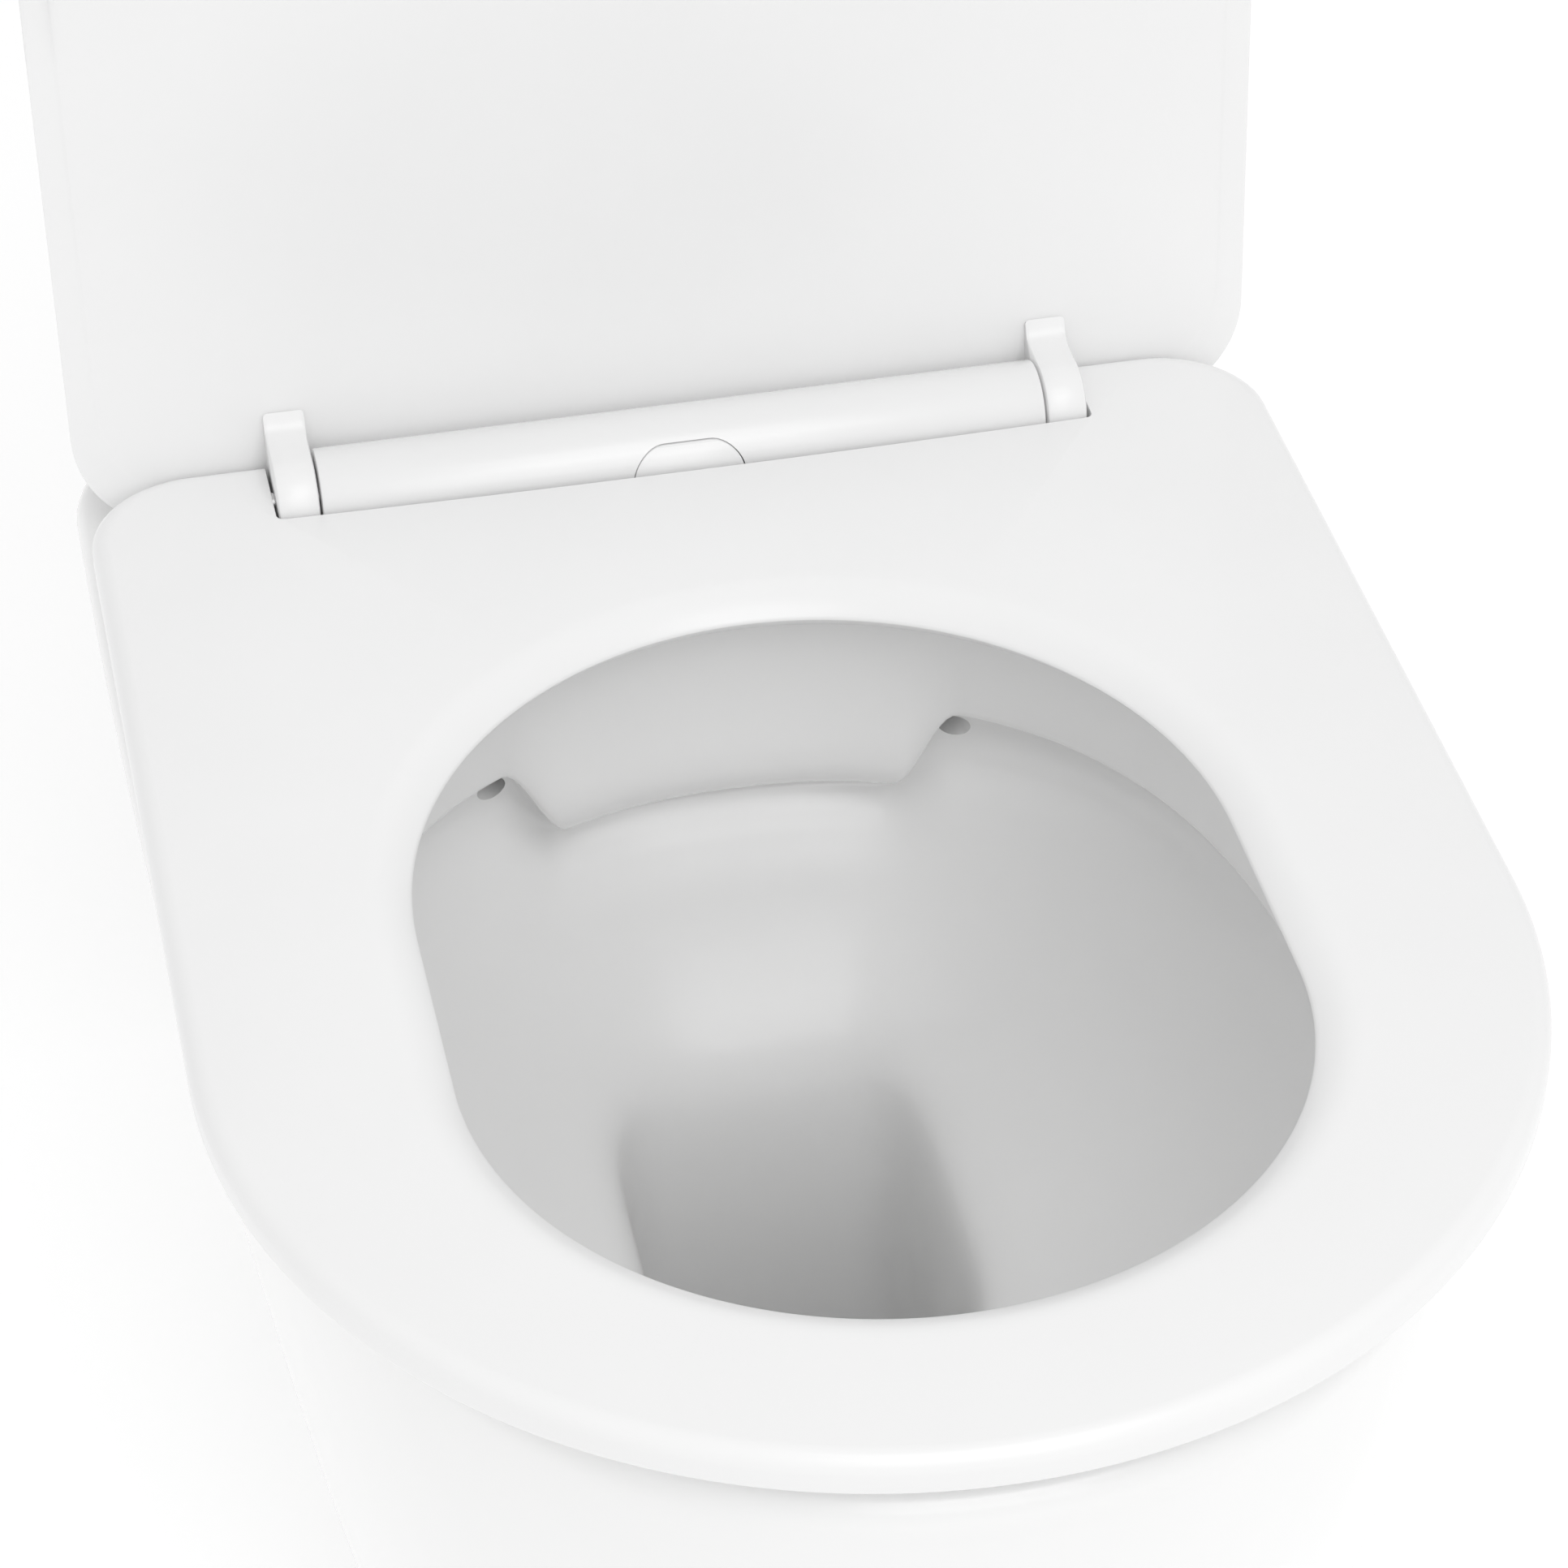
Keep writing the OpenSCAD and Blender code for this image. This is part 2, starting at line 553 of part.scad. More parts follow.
module seat_ring() {
    outer = concat(edge_down(3, seat_bot, 3), edge_up(5, seat_top, 4));
    inner = concat(edge_up(4, seat_top, 3), edge_down(3, seat_bot, 3));
    n = len(inner);
    color(duroplast) difference() {
        loft(concat([for (e = outer) at_z(seat_outline(e[0]), e[1])],
            [for (k = [n / 2 - 1:-1:0]) at_z(seat_opening(inner[k][0]), inner[k][1])],
            [for (k = [n - 1:-1:n / 2]) at_z(seat_opening(inner[k][0]), inner[k][1])]), loop = true);
        translate([-notch_hw, notch_y, seat_bot - 5]) cube([2 * notch_hw, 80, 40]);
        at_pivot() {
            x_rod(pin_r + run, -notch_hw - 22, -notch_hw + 5);
            x_rod(pin_r + run, notch_hw - 5, notch_hw + 22);
        }
    }
}
module seat_buffers() {
    color(plastic) for (s = [-1, 1], p = [[116, 92], [150, 318]])
        translate([s * p[0], y_front + p[1], pan_h + 0.2])
            cylinder(r = 8.5, h = seat_gap - 0.4, $fn = 48);
}
module seat_hinge_pin() { color(steel) at_pivot() x_rod(pin_r, -notch_hw - 20, -bar_hw + 14); }

// ---- lid, drawn closed and turned open about the pivot -----------------

lid_under = axis_z + 15.6;
lid_lip = seat_top + 3;
lid_hw = seat_w / 2 + 1.5;
lid_rear = axis_y + 12;
lip_fade_y = axis_y - 213;       // in front of this the lid's lip has its full depth
module opened() { at_pivot() rotate([-lid_open, 0, 0]) translate([0, -axis_y, -axis_z]) children(); }

function lid_outline(inset) = d_outline(lid_hw - inset, y_front - 1.5 + inset, seat_start,
    lid_rear - inset, 2, 30, 32);

module lid_shell() {
    under = [[60, lid_under], [11, lid_under], [8, lid_under - 1.2], [6.5, lid_under - 4]];
    lip = [[5.6, lid_lip + 1], [4, lid_lip], [1.4, lid_lip + 0.2], [0.2, lid_lip + 1.6]];
    top = [[0, lid_lip + 5], [0, lid_under + 2], [1, lid_under + 4.8], [3.6, lid_under + 6.4],
        [9, lid_under + 7.2], [60, lid_under + 8.2]];
    mid = (y_front + lid_rear) / 2;
    color(duroplast) opened() difference() {
        union() {
            difference() {
                loft([for (e = concat(under, lip, top)) at_z(lid_outline(e[0]), e[1])],
                    cap_a = [0, mid, lid_under], cap_b = [0, mid, lid_under + 8.6]);
                // the lip fades out towards the hinge
                rotate([90, 0, 90]) translate([0, 0, -200]) linear_extrude(400)
                    polygon([[lip_fade_y, lid_lip - 1], [lip_fade_y + 75, lid_under - 0.5],
                        [axis_y - 17, lid_under - 0.5], [axis_y - 17, lid_under], [axis_y + 43, lid_under],
                        [axis_y + 43, lid_lip - 5], [lip_fade_y, lid_lip - 5]]);
            }
            for (s = [-1, 1]) translate([s * (arm_in + arm_out) / 2, 0, 0]) {
                at_pivot() x_rod(barrel_r, -arm_t / 2, arm_t / 2);
                translate([-arm_t / 2, axis_y - barrel_r, axis_z]) cube([arm_t, barrel_r + 6, 17]);
            }
        }
        at_pivot() x_rod(pin_r + run, -notch_hw - 5, notch_hw + 5);
    }
}
module lid_buffers() {
    color(plastic) opened() for (s = [-1, 1], p = [[96, 66], [148, 225]])
        translate([s * p[0], y_front + p[1], seat_top + 0.4])
            cylinder(r = 7, h = lid_under - seat_top - 0.4, $fn = 48);
}
module lid_hinge_pin() { color(steel) at_pivot() x_rod(pin_r, bar_hw - 14, notch_hw + 20); }

// ---- hinge bar and quick release ---------------------------------------

shell_t = 2;
damper_r = 5.9;
stud_head_r = 4.5;
stud_neck_r = 3;
button_hw = 17;
button_top = axis_z + 10.2;
// Half-oval outline of the release button, pushed along +Y
module button_window(gap) {
    hw = button_hw + gap;
    h = button_top + gap - (axis_z - 6);
    r = 10;
    translate([0, axis_y, axis_z - 6]) rotate([90, 0, 0]) linear_extrude(30) intersection() {
        translate([-hw, -gap]) square([2 * hw, h + gap]);
        union() {
            translate([-hw, -gap]) square([2 * hw, h + gap - r]);
            translate([r - hw, -gap]) square([2 * (hw - r), h + gap]);
            for (s = [-1, 1]) translate([s * (hw - r), h - r]) circle(r = r, $fn = 64);
        }
    }
}
module hinge_bar() {
    color(duroplast) difference() {
        union() {
            at_pivot() difference() {
                x_rod(barrel_r, -bar_hw, bar_hw);
                x_rod(barrel_r - shell_t, -bar_hw + 3, bar_hw - 3);
            }
            // socket blocks over the studs
            for (s = [-1, 1]) translate([s * stud_x, axis_y, 0]) intersection() {
                translate([-10, -barrel_r, pan_h + 4.3]) cube([20, 2 * barrel_r, 5.5]);
                translate([-10, 0, axis_z]) rotate([0, 90, 0]) cylinder(r = barrel_r - 1, h = 20, $fn = 64);
            }
        }
        // open underside for the base plates and the lock plate
        translate([-bar_hw + 12, axis_y - 10.5, pan_h]) cube([2 * bar_hw - 24, 21, 4.3]);
        translate([-bar_hw - 1, axis_y - 20, pan_h - 10]) cube([2 * bar_hw + 2, 40, 11.7]);
        for (s = [-1, 1]) translate([s * stud_x, axis_y, pan_h])
            cylinder(r = stud_head_r + run, h = 9, $fn = 48);
        // slot for the stem of the release button
        translate([-7.6, axis_y - 15, pan_h]) cube([15.2, 10.4, 10]);
        at_pivot() x_rod(pin_r + run, -bar_hw - 5, bar_hw + 5);
        difference() {
            button_window(0.3);
            at_pivot() x_rod(5, -40, 40);
        }
    }
}
module lid_damper() {
    color(plastic) at_pivot() difference() {
        x_rod(damper_r, bar_hw - 62, bar_hw - 3.2);
        x_rod(pin_r + run, bar_hw - 14.2, bar_hw);
    }
}
module seat_damper() {
    color(plastic) at_pivot() difference() {
        x_rod(damper_r, -bar_hw + 3.2, -bar_hw + 62);
        x_rod(pin_r + run, -bar_hw, -bar_hw + 14.2);
    }
}
release_travel = 4;
module release_button() {
    color(duroplast) {
        intersection() {
            at_pivot() difference() {
                x_rod(barrel_r, -30, 30);
                x_rod(barrel_r - shell_t, -31, 31);
            }
            button_window(0);
        }
        // stem down to the lock plate
        translate([-7, axis_y - 13.2, pan_h + 2.3]) cube([14, 4, 12]);
        // lock plate with a keyhole round each stud's neck
        difference() {
            translate([-stud_x - 12, axis_y - 10.2, pan_h + 2.3]) cube([2 * stud_x + 24, 16.2, 1.6]);
            for (s = [-1, 1]) translate([s * stud_x, axis_y, pan_h]) {
                translate([0, -release_travel, 0]) cylinder(r = stud_head_r + 0.4, h = 8, $fn = 48);
                cylinder(r = stud_neck_r + 0.1, h = 8, $fn = 48);
                translate([-stud_neck_r - 0.1, -release_travel, 0])
                    cube([2 * stud_neck_r + 0.2, release_travel, 8]);
            }
        }
    }
}
module release_spring() {
    color(steel) translate([0, axis_y - 9, pan_h + 11]) rotate([-90, 0, 0]) tube(3, 2.2, 17.5);
}
module each_stud() { for (s = [-1, 1]) translate([s * stud_x, axis_y, 0]) children(); }
module hinge_studs() {
    color(steel) each_stud() {
        translate([0, 0, pan_h - 62]) cylinder(r = 4, h = 63.5, $fn = 48);
        translate([0, 0, pan_h + 1.4]) cylinder(r = stud_neck_r, h = 3.4, $fn = 48);
        translate([0, 0, pan_h + 4.6]) cylinder(r = stud_head_r, h = 4, $fn = 48);
    }
}
module hinge_base_plates() { color(steel) each_stud() translate([0, 0, pan_h]) tube(9.5, 4.05, 1.4); }
module hinge_bushes() {
    color(rubber) each_stud() translate([0, 0, pan_h - slab - 12]) difference() {
        union() {
            translate([0, 0, 2]) cylinder(r = 7.3, h = slab + 9.6, $fn = 48);
            cylinder(r = 11, h = 11.8, $fn = 48);
        }
        translate([0, 0, -1]) cylinder(r = 4.1, h = 60, $fn = 48);
    }
}
module hinge_stud_nuts() {
    color(plastic) each_stud() translate([0, 0, pan_h - slab - 24]) difference() {
        union() {
            cylinder(r = 11, h = 12, $fn = 6);
            translate([-17, -2, 0]) cube([34, 4, 10]);
        }
        translate([0, 0, -1]) cylinder(r = 4.05, h = 14, $fn = 48);
    }
}

pan();
cistern_tank();
cistern_lid();
coupling_gasket();
coupling_bolts();
coupling_seals();
coupling_pads();
coupling_washers();
coupling_wing_nuts();
flush_valve_basket();
flush_valve_floor_seal();
flush_valve_backnut();
flush_valve_tube();
flush_valve_disc_seal();
flush_lever();
flush_lever_pin();
fill_valve_body();
fill_valve_floor_seal();
fill_valve_backnut();
inlet_filter();
fill_valve_float();
fill_valve_arm();
fill_valve_arm_pin();
button_bezel();
button_backnut();
full_flush_button();
half_flush_button();
full_flush_spring();
half_flush_spring();
full_flush_rod();
half_flush_rod();
seat_ring();
seat_buffers();
seat_hinge_pin();
lid_shell();
lid_buffers();
lid_hinge_pin();
hinge_bar();
lid_damper();
seat_damper();
release_button();
release_spring();
hinge_studs();
hinge_base_plates();
hinge_bushes();
hinge_stud_nuts();
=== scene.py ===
import json
import math

import bmesh
import bpy
import numpy as np
from mathutils import Matrix, Vector


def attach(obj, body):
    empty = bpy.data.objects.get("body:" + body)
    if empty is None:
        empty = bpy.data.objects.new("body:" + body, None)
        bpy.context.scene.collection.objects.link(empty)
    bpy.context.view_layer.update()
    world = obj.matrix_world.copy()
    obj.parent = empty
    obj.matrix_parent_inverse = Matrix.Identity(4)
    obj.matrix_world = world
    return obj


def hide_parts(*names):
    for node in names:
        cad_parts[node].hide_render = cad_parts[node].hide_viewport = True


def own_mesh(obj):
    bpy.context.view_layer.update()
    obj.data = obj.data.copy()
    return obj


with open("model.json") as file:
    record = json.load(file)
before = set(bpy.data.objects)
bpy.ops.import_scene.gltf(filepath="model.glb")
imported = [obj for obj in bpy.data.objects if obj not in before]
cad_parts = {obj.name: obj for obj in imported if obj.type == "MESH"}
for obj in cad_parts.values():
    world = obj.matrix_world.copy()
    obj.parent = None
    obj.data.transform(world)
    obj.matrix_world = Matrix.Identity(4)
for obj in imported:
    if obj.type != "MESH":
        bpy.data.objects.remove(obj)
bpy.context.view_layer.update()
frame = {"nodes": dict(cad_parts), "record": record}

MM = 0.001

# ---- sizes, in millimetres, as in the CAD source; PAN_HW and NOTCH_Y are eased by up to 0.5 ----
PAN_H, DEPTH, PAN_HW, FOOT_HW, PLATFORM_HW, WALL = 400.0, 655.0, 183.2, 111.0, 106.0, 11.0
Y_FRONT, Y_BACK = -DEPTH / 2, DEPTH / 2
SEAT_BOT, SEAT_TOP, SEAT_HW = 408.0, 421.0, 180.0
AXIS_Y, AXIS_Z = Y_FRONT + 425.5, 416.0
NOTCH_HW, NOTCH_Y = 125.0, Y_FRONT + 409.5
ARM_OUT, ARM_IN, BAR_HW = 124.0, 111.7, 110.9
BARREL_R, PIN_BORE_R, LID_OPEN = 14.5, 3.05, 96.0
TANK_Z, TANK_TOP, TANK_W, TANK_D = 408.0, 758.0, 335.0, 158.0
TANK_FLOOR, LID_H = 420.0, 32.0
TANK_Y = Y_BACK - TANK_D / 2
LID_TOP = TANK_TOP + LID_H
FILL_X, ROD_X = -134.0, 12.0
STUD_X, STUD_HOLE_R, BOLT_X, BOLT_HOLE_R = 77.5, 7.5, 75.0, 6.0
OUTLET_Z, OUTLET_R = 190.0, 51.0
SLAB = 14.0
DECK_BOT, DECK_TOP = PAN_H - 30, PAN_H + 10       # reach of the cutters through the rim's slab
FLUSH_HOLE_R, TANK_HOLE_R, INLET_HOLE_R, BUTTON_HOLE_R = 34.0, 31.5, 11.3, 29.0
LUG_X, LUG_Y, LUG_T, LUG_HOLE_R = 80.0, 262.0, 14.2, 4.5
WALL_HOLE_X, WALL_HOLE_Z, WALL_HOLE_R = 110.0, 698.0, 4.0


# ---- materials ------------------------------------------------------------------

class Nodes:
    """A small builder for one material's node tree."""

    def __init__(self, name):
        self.m = bpy.data.materials.new(name)
        self.m.use_nodes = True
        self.t = self.m.node_tree
        self.bsdf = self.t.nodes["Principled BSDF"]
        self.coord = self.t.nodes.new("ShaderNodeTexCoord").outputs["Object"]

    def set(self, **values):
        for k, v in values.items():
            self.bsdf.inputs[k.replace("_", " ")].default_value = v

    def noise(self, scale, detail=3.0, rough=0.5, stretch=None):
        n = self.t.nodes.new("ShaderNodeTexNoise")
        n.inputs["Scale"].default_value = scale
        n.inputs["Detail"].default_value = detail
        n.inputs["Roughness"].default_value = rough
        src = self.coord
        if stretch:
            mp = self.t.nodes.new("ShaderNodeMapping")
            mp.inputs["Scale"].default_value = stretch
            self.t.links.new(src, mp.inputs["Vector"])
            src = mp.outputs["Vector"]
        self.t.links.new(src, n.inputs["Vector"])
        return n.outputs["Fac"]

    def ramp(self, fac, stops):
        r = self.t.nodes.new("ShaderNodeValToRGB")
        while len(r.color_ramp.elements) < len(stops):
            r.color_ramp.elements.new(0.5)
        for e, (pos, col) in zip(r.color_ramp.elements, stops):
            e.position = pos
            e.color = (*col, 1.0) if len(col) == 3 else (col[0], col[0], col[0], 1.0)
        self.t.links.new(fac, r.inputs["Fac"])
        return r.outputs["Color"]

    def bump(self, height, strength, distance, normal=None):
        b = self.t.nodes.new("ShaderNodeBump")
        b.inputs["Strength"].default_value = strength
        b.inputs["Distance"].default_value = distance
        self.t.links.new(height, b.inputs["Height"])
        if normal is not None:
            self.t.links.new(normal, b.inputs["Normal"])
        return b.outputs["Normal"]

    def link(self, out, socket):
        self.t.links.new(out, self.bsdf.inputs[socket])


def grey(v):
    return (v, v, v * 0.998)


def glazed_china():
    k = Nodes("glazed_china")
    k.set(Roughness=0.35, Coat_Weight=0.9, Coat_Roughness=0.2, Coat_IOR=1.5)
    k.bsdf.inputs["Specular IOR Level"].default_value = 0.35
    cloud = k.noise(9.0, 3.0)
    k.link(k.ramp(cloud, [(0.3, grey(0.885)), (0.7, grey(0.897))]), "Base Color")
    # slow waviness of the glaze, and fine pits in the body below it
    wave = k.bump(k.noise(26.0, 1.5, 0.4), 0.12, 0.0012)
    k.link(wave, "Coat Normal")
    k.link(k.bump(k.noise(900.0, 2.0), 0.05, 0.0002, wave), "Normal")
    return k.m


def moulded(name, tone, rough, coat, peel=900.0, strength=0.02, tint=(1, 1, 1)):
    k = Nodes(name)
    k.set(Coat_Weight=coat, Coat_Roughness=0.2, Coat_IOR=1.48)
    k.bsdf.inputs["Specular IOR Level"].default_value = 0.4
    c = [tuple(v * t for t in tint) for v in (tone * 0.985, tone)]
    k.link(k.ramp(k.noise(14.0, 2.0), [(0.3, c[0]), (0.7, c[1])]), "Base Color")
    r = k.ramp(k.noise(60.0, 3.0), [(0.3, (rough * 0.97,)), (0.7, (rough * 1.03,))])
    k.link(r, "Roughness")
    k.link(k.bump(k.noise(peel, 2.0), strength, 0.0003), "Normal")
    return k.m


def rubber_look():
    k = Nodes("moulded_rubber")
    blacks = [(0.3, (0.028, 0.028, 0.03)), (0.7, (0.05, 0.05, 0.053))]
    k.link(k.ramp(k.noise(55.0, 4.0), blacks), "Base Color")
    k.link(k.ramp(k.noise(120.0, 3.0), [(0.3, (0.55,)), (0.7, (0.8,))]), "Roughness")
    k.link(k.bump(k.noise(1500.0, 3.0), 0.25, 0.0003), "Normal")
    return k.m


def metal_look(name, tone, rough, turned, tint=(1.0, 1.0, 1.0)):
    k = Nodes(name)
    k.set(Metallic=1.0)
    k.link(k.ramp(k.noise(30.0, 3.0), [(0.3, tuple(tone * 0.94 * t for t in tint)),
                                       (0.7, tuple(tone * t for t in tint))]), "Base Color")
    k.link(k.ramp(k.noise(220.0, 4.0), [(0.3, (rough * 0.75,)), (0.7, (rough * 1.3,))]), "Roughness")
    # turned grain: fine rings across the axis
    k.link(k.bump(k.noise(400.0, 2.0, stretch=(0.15, 0.15, 6.0)), turned, 0.0002), "Normal")
    return k.m


FLOOR_SIZE, FLOOR_GLOW = 14.0, 0.24           # metres across, strength of its own light
GLOW_NONE_Y, GLOW_FULL_Y = -0.75, -0.3        # where that light starts and is full, in metres


def floor_look():
    k = Nodes("studio_floor")
    k.set(Roughness=0.7)
    k.link(k.ramp(k.noise(2.0, 2.0), [(0.3, (0.9, 0.9, 0.9)), (0.7, (0.92, 0.92, 0.92))]), "Base Color")
    # lit from below like a light table, fading out in front of the pan
    k.bsdf.inputs["Emission Color"].default_value = (1, 1, 1, 1)
    split = k.t.nodes.new("ShaderNodeSeparateXYZ")
    fade = k.t.nodes.new("ShaderNodeMapRange")
    k.t.links.new(k.coord, split.inputs["Vector"])
    k.t.links.new(split.outputs["Y"], fade.inputs["Value"])
    fade.inputs["From Min"].default_value = GLOW_NONE_Y / FLOOR_SIZE
    fade.inputs["From Max"].default_value = GLOW_FULL_Y / FLOOR_SIZE
    fade.inputs["To Max"].default_value = FLOOR_GLOW
    k.link(fade.outputs["Result"], "Emission Strength")
    return k.m


LOOKS = {
    "ceramic": glazed_china(),
    "duroplast": moulded("duroplast_white", 0.885, 0.3, 0.35),
    "hinge_plastic": moulded("hinge_white", 0.86, 0.26, 0.5, strength=0.015),
    "buffer_plastic": moulded("buffer_soft", 0.78, 0.6, 0.0, peel=900.0, strength=0.15, tint=(1, 1, 0.985)),
    "white_plastic": moulded("valve_white", 0.72, 0.45, 0.0, peel=700.0, strength=0.12, tint=(0.99, 1, 1)),
    "grey_plastic": moulded("valve_grey", 0.36, 0.5, 0.0, peel=700.0, strength=0.14, tint=(0.97, 0.99, 1)),
    "rubber": rubber_look(),
    "steel": metal_look("stainless", 0.62, 0.26, 0.25),
    "chrome": metal_look("chromium", 0.78, 0.07, 0.02, tint=(0.985, 0.99, 1.0)),
}

# every CAD node starts with its slot's look
slots = {r["node"]: r["material_slot"] for r in frame["record"]["subparts"]}
for node_name, obj in frame["nodes"].items():
    obj.data.materials.clear()
    obj.data.materials.append(LOOKS[slots[node_name]])
    for poly in obj.data.polygons:
        poly.material_index = 0


# ---- mesh helpers ---------------------------------------------------------------

def add_mesh(name, verts, faces, slot):
    """A named mesh from millimetre points, with its slot's look."""
    me = bpy.data.meshes.new(name)
    me.from_pydata([(x * MM, y * MM, z * MM) for x, y, z in verts], [], faces)
    me.validate()
    ob = bpy.data.objects.new(name, me)
    bpy.context.scene.collection.objects.link(ob)
    ob.data.materials.append(LOOKS[slot])
    shade(ob)
    return ob


def place(ob, body, nodes):
    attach(ob, body)
    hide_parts(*nodes)


def shade(ob, angle=35.0):
    me = ob.data
    me.shade_smooth()
    me.set_sharp_from_angle(angle=math.radians(angle))


def loft(rings, closed=False, cap_a=None, cap_b=None):
    """Faces between rings of equal length: (verts, faces)."""
    n = len(rings[0])
    m = len(rings)
    verts = [tuple(p) for r in rings for p in r]
    faces = []
    for k in range(m if closed else m - 1):
        a, b = k * n, ((k + 1) % m) * n
        for i in range(n):
            j = (i + 1) % n
            faces.append((a + i, a + j, b + j, b + i))
    if cap_a is not None:
        verts.append(tuple(cap_a))
        c = len(verts) - 1
        faces += [(c, (i + 1) % n, i) for i in range(n)]
    if cap_b is not None:
        verts.append(tuple(cap_b))
        c = len(verts) - 1
        base = (m - 1) * n
        faces += [(c, base + i, base + (i + 1) % n) for i in range(n)]
    return verts, faces


def outward(ob):
    bm = bmesh.new()
    bm.from_mesh(ob.data)
    bmesh.ops.remove_doubles(bm, verts=bm.verts, dist=1e-6)
    bmesh.ops.recalc_face_normals(bm, faces=bm.faces)
    bm.to_mesh(ob.data)
    bm.free()


def apply_modifiers(ob):
    dg = bpy.context.evaluated_depsgraph_get()
    dg.update()
    me = bpy.data.meshes.new_from_object(ob.evaluated_get(dg))
    old = ob.data
    ob.modifiers.clear()
    ob.data = me
    bpy.data.meshes.remove(old)


def cut(ob, cutters, operation="DIFFERENCE"):
    for c in cutters:
        m = ob.modifiers.new("cut", "BOOLEAN")
        m.operation, m.solver, m.object = operation, "EXACT", c
        apply_modifiers(ob)
        bpy.data.objects.remove(c, do_unlink=True)


def bevel(ob, width, segments=3, angle=40.0):
    m = ob.modifiers.new("bevel", "BEVEL")
    m.width, m.segments = width * MM, segments
    m.limit_method, m.angle_limit = "ANGLE", math.radians(angle)
    m.use_clamp_overlap = True
    apply_modifiers(ob)


def plain(name, verts, faces):
    """A scratch mesh for a cut."""
    me = bpy.data.meshes.new(name)
    me.from_pydata([(x * MM, y * MM, z * MM) for x, y, z in verts], [], faces)
    ob = bpy.data.objects.new(name, me)
    bpy.context.scene.collection.objects.link(ob)
    outward(ob)
    return ob


def box_mesh(x0, x1, y0, y1, z0, z1):
    v = [(x, y, z) for z in (z0, z1) for y in (y0, y1) for x in (x0, x1)]
    f = [(0, 2, 3, 1), (4, 5, 7, 6), (0, 1, 5, 4), (2, 6, 7, 3), (0, 4, 6, 2), (1, 3, 7, 5)]
    return v, f


def rod_mesh(a, b, r, n=48):
    """A cylinder between two points."""
    a, b = Vector(a), Vector(b)
    d = (b - a).normalized()
    u = d.orthogonal().normalized()
    w = d.cross(u)
    turns = [2 * math.pi * i / n for i in range(n)]
    rings = [[c + (u * math.cos(t) + w * math.sin(t)) * r for t in turns] for c in (a, b)]
    return loft(rings, cap_a=a, cap_b=b)


def bore(x, y, z0, z1, r, n=48):
    """Cutter for an upright hole."""
    return plain("c", *rod_mesh((x, y, z0), (x, y, z1), r, n))


def pin_bore(x0, x1):
    """Cutter for a hinge pin's hole, along the hinge axis."""
    return plain("c", *rod_mesh((x0, AXIS_Y, AXIS_Z), (x1, AXIS_Y, AXIS_Z), PIN_BORE_R, 40))


def pocket(x0, x1, y0, y1, z0, z1):
    """Cutter for a square hole."""
    return plain("c", *box_mesh(x0, x1, y0, y1, z0, z1))


def ease(t):
    u = np.clip(t, 0.0, 1.0)
    return u * u * (3 - 2 * u)


def mix(a, b, t):
    return a + (b - a) * t


def spow(v, e):
    return np.sign(v) * np.abs(v) ** e


def edge(r, at, steps, up=True):
    """(inset, height) pairs of a quarter round, upwards from the side."""
    t = np.linspace(0, math.pi / 2, steps)
    pairs = [(r - r * math.cos(a), at - r + r * math.sin(a)) for a in t] if up else \
            [(r - r * math.cos(a), at + r - r * math.sin(a)) for a in t[::-1]]
    return pairs


# ---- pan ------------------------------------------------------------------------

BULGE_Y = AXIS_Y + 4.5
BOWL_WALL = WALL - 2
SIDE_Y = BULGE_Y - 165
N_FRONT, N_SIDE, N_CORNER = 120, 96, 7


def pan_half(z):
    t = (PAN_H - z) / PAN_H
    return mix(PAN_HW, FOOT_HW, 0.81 * t + 0.19 * t * t)


def pan_tip(z):
    t = (PAN_H - z) / PAN_H
    return Y_FRONT + 2.6 + 72.2 * t + 114.8 * t * t


def pan_n(z):
    return 2.1 + 0.7 * min(1.0, (PAN_H - z) / 160)


def pan_side(z, y, w):
    hw, rear = pan_half(z) - w, min(pan_half(z) - 3, PLATFORM_HW) - w
    fwd = np.clip((BULGE_Y - y) / 165, 0, 1)
    return mix(hw * (1 - 0.018 * fwd * fwd), rear, ease((y - 135) / 115))


def front_arc(hw, y_start, y_tip, n, count=N_FRONT):
    t = np.linspace(0, math.pi, count + 1)
    return np.stack([hw * spow(np.cos(t), 2 / n),
                     y_start - (y_start - y_tip) * np.abs(np.sin(t)) ** (2 / n)], 1)


def pan_ring(z, w):
    """The pan's outline at a height, w inside its surface, with as many points as a bowl ring."""
    y1 = Y_BACK - w
    ys = np.linspace(SIDE_Y, y1 - 8, N_SIDE + 1)[1:]
    left = np.stack([-pan_side(z, ys, w), ys], 1)
    end_x = pan_side(z, y1 - 8, w)
    t = np.linspace(0, math.pi / 2, N_CORNER + 1)[1:]
    corner = np.stack([-end_x + 8 - 8 * np.cos(t), y1 - 8 + 8 * np.sin(t)], 1)
    mirror = np.concatenate([left, corner])[::-1].copy()
    mirror[:, 0] *= -1
    flat = np.concatenate([front_arc(pan_side(z, SIDE_Y, w), SIDE_Y, pan_tip(z) + w, pan_n(z)),
                           left, corner, mirror])
    return np.column_stack([flat, np.full(len(flat), z)])


N_REAR = 2 * (N_SIDE + N_CORNER)

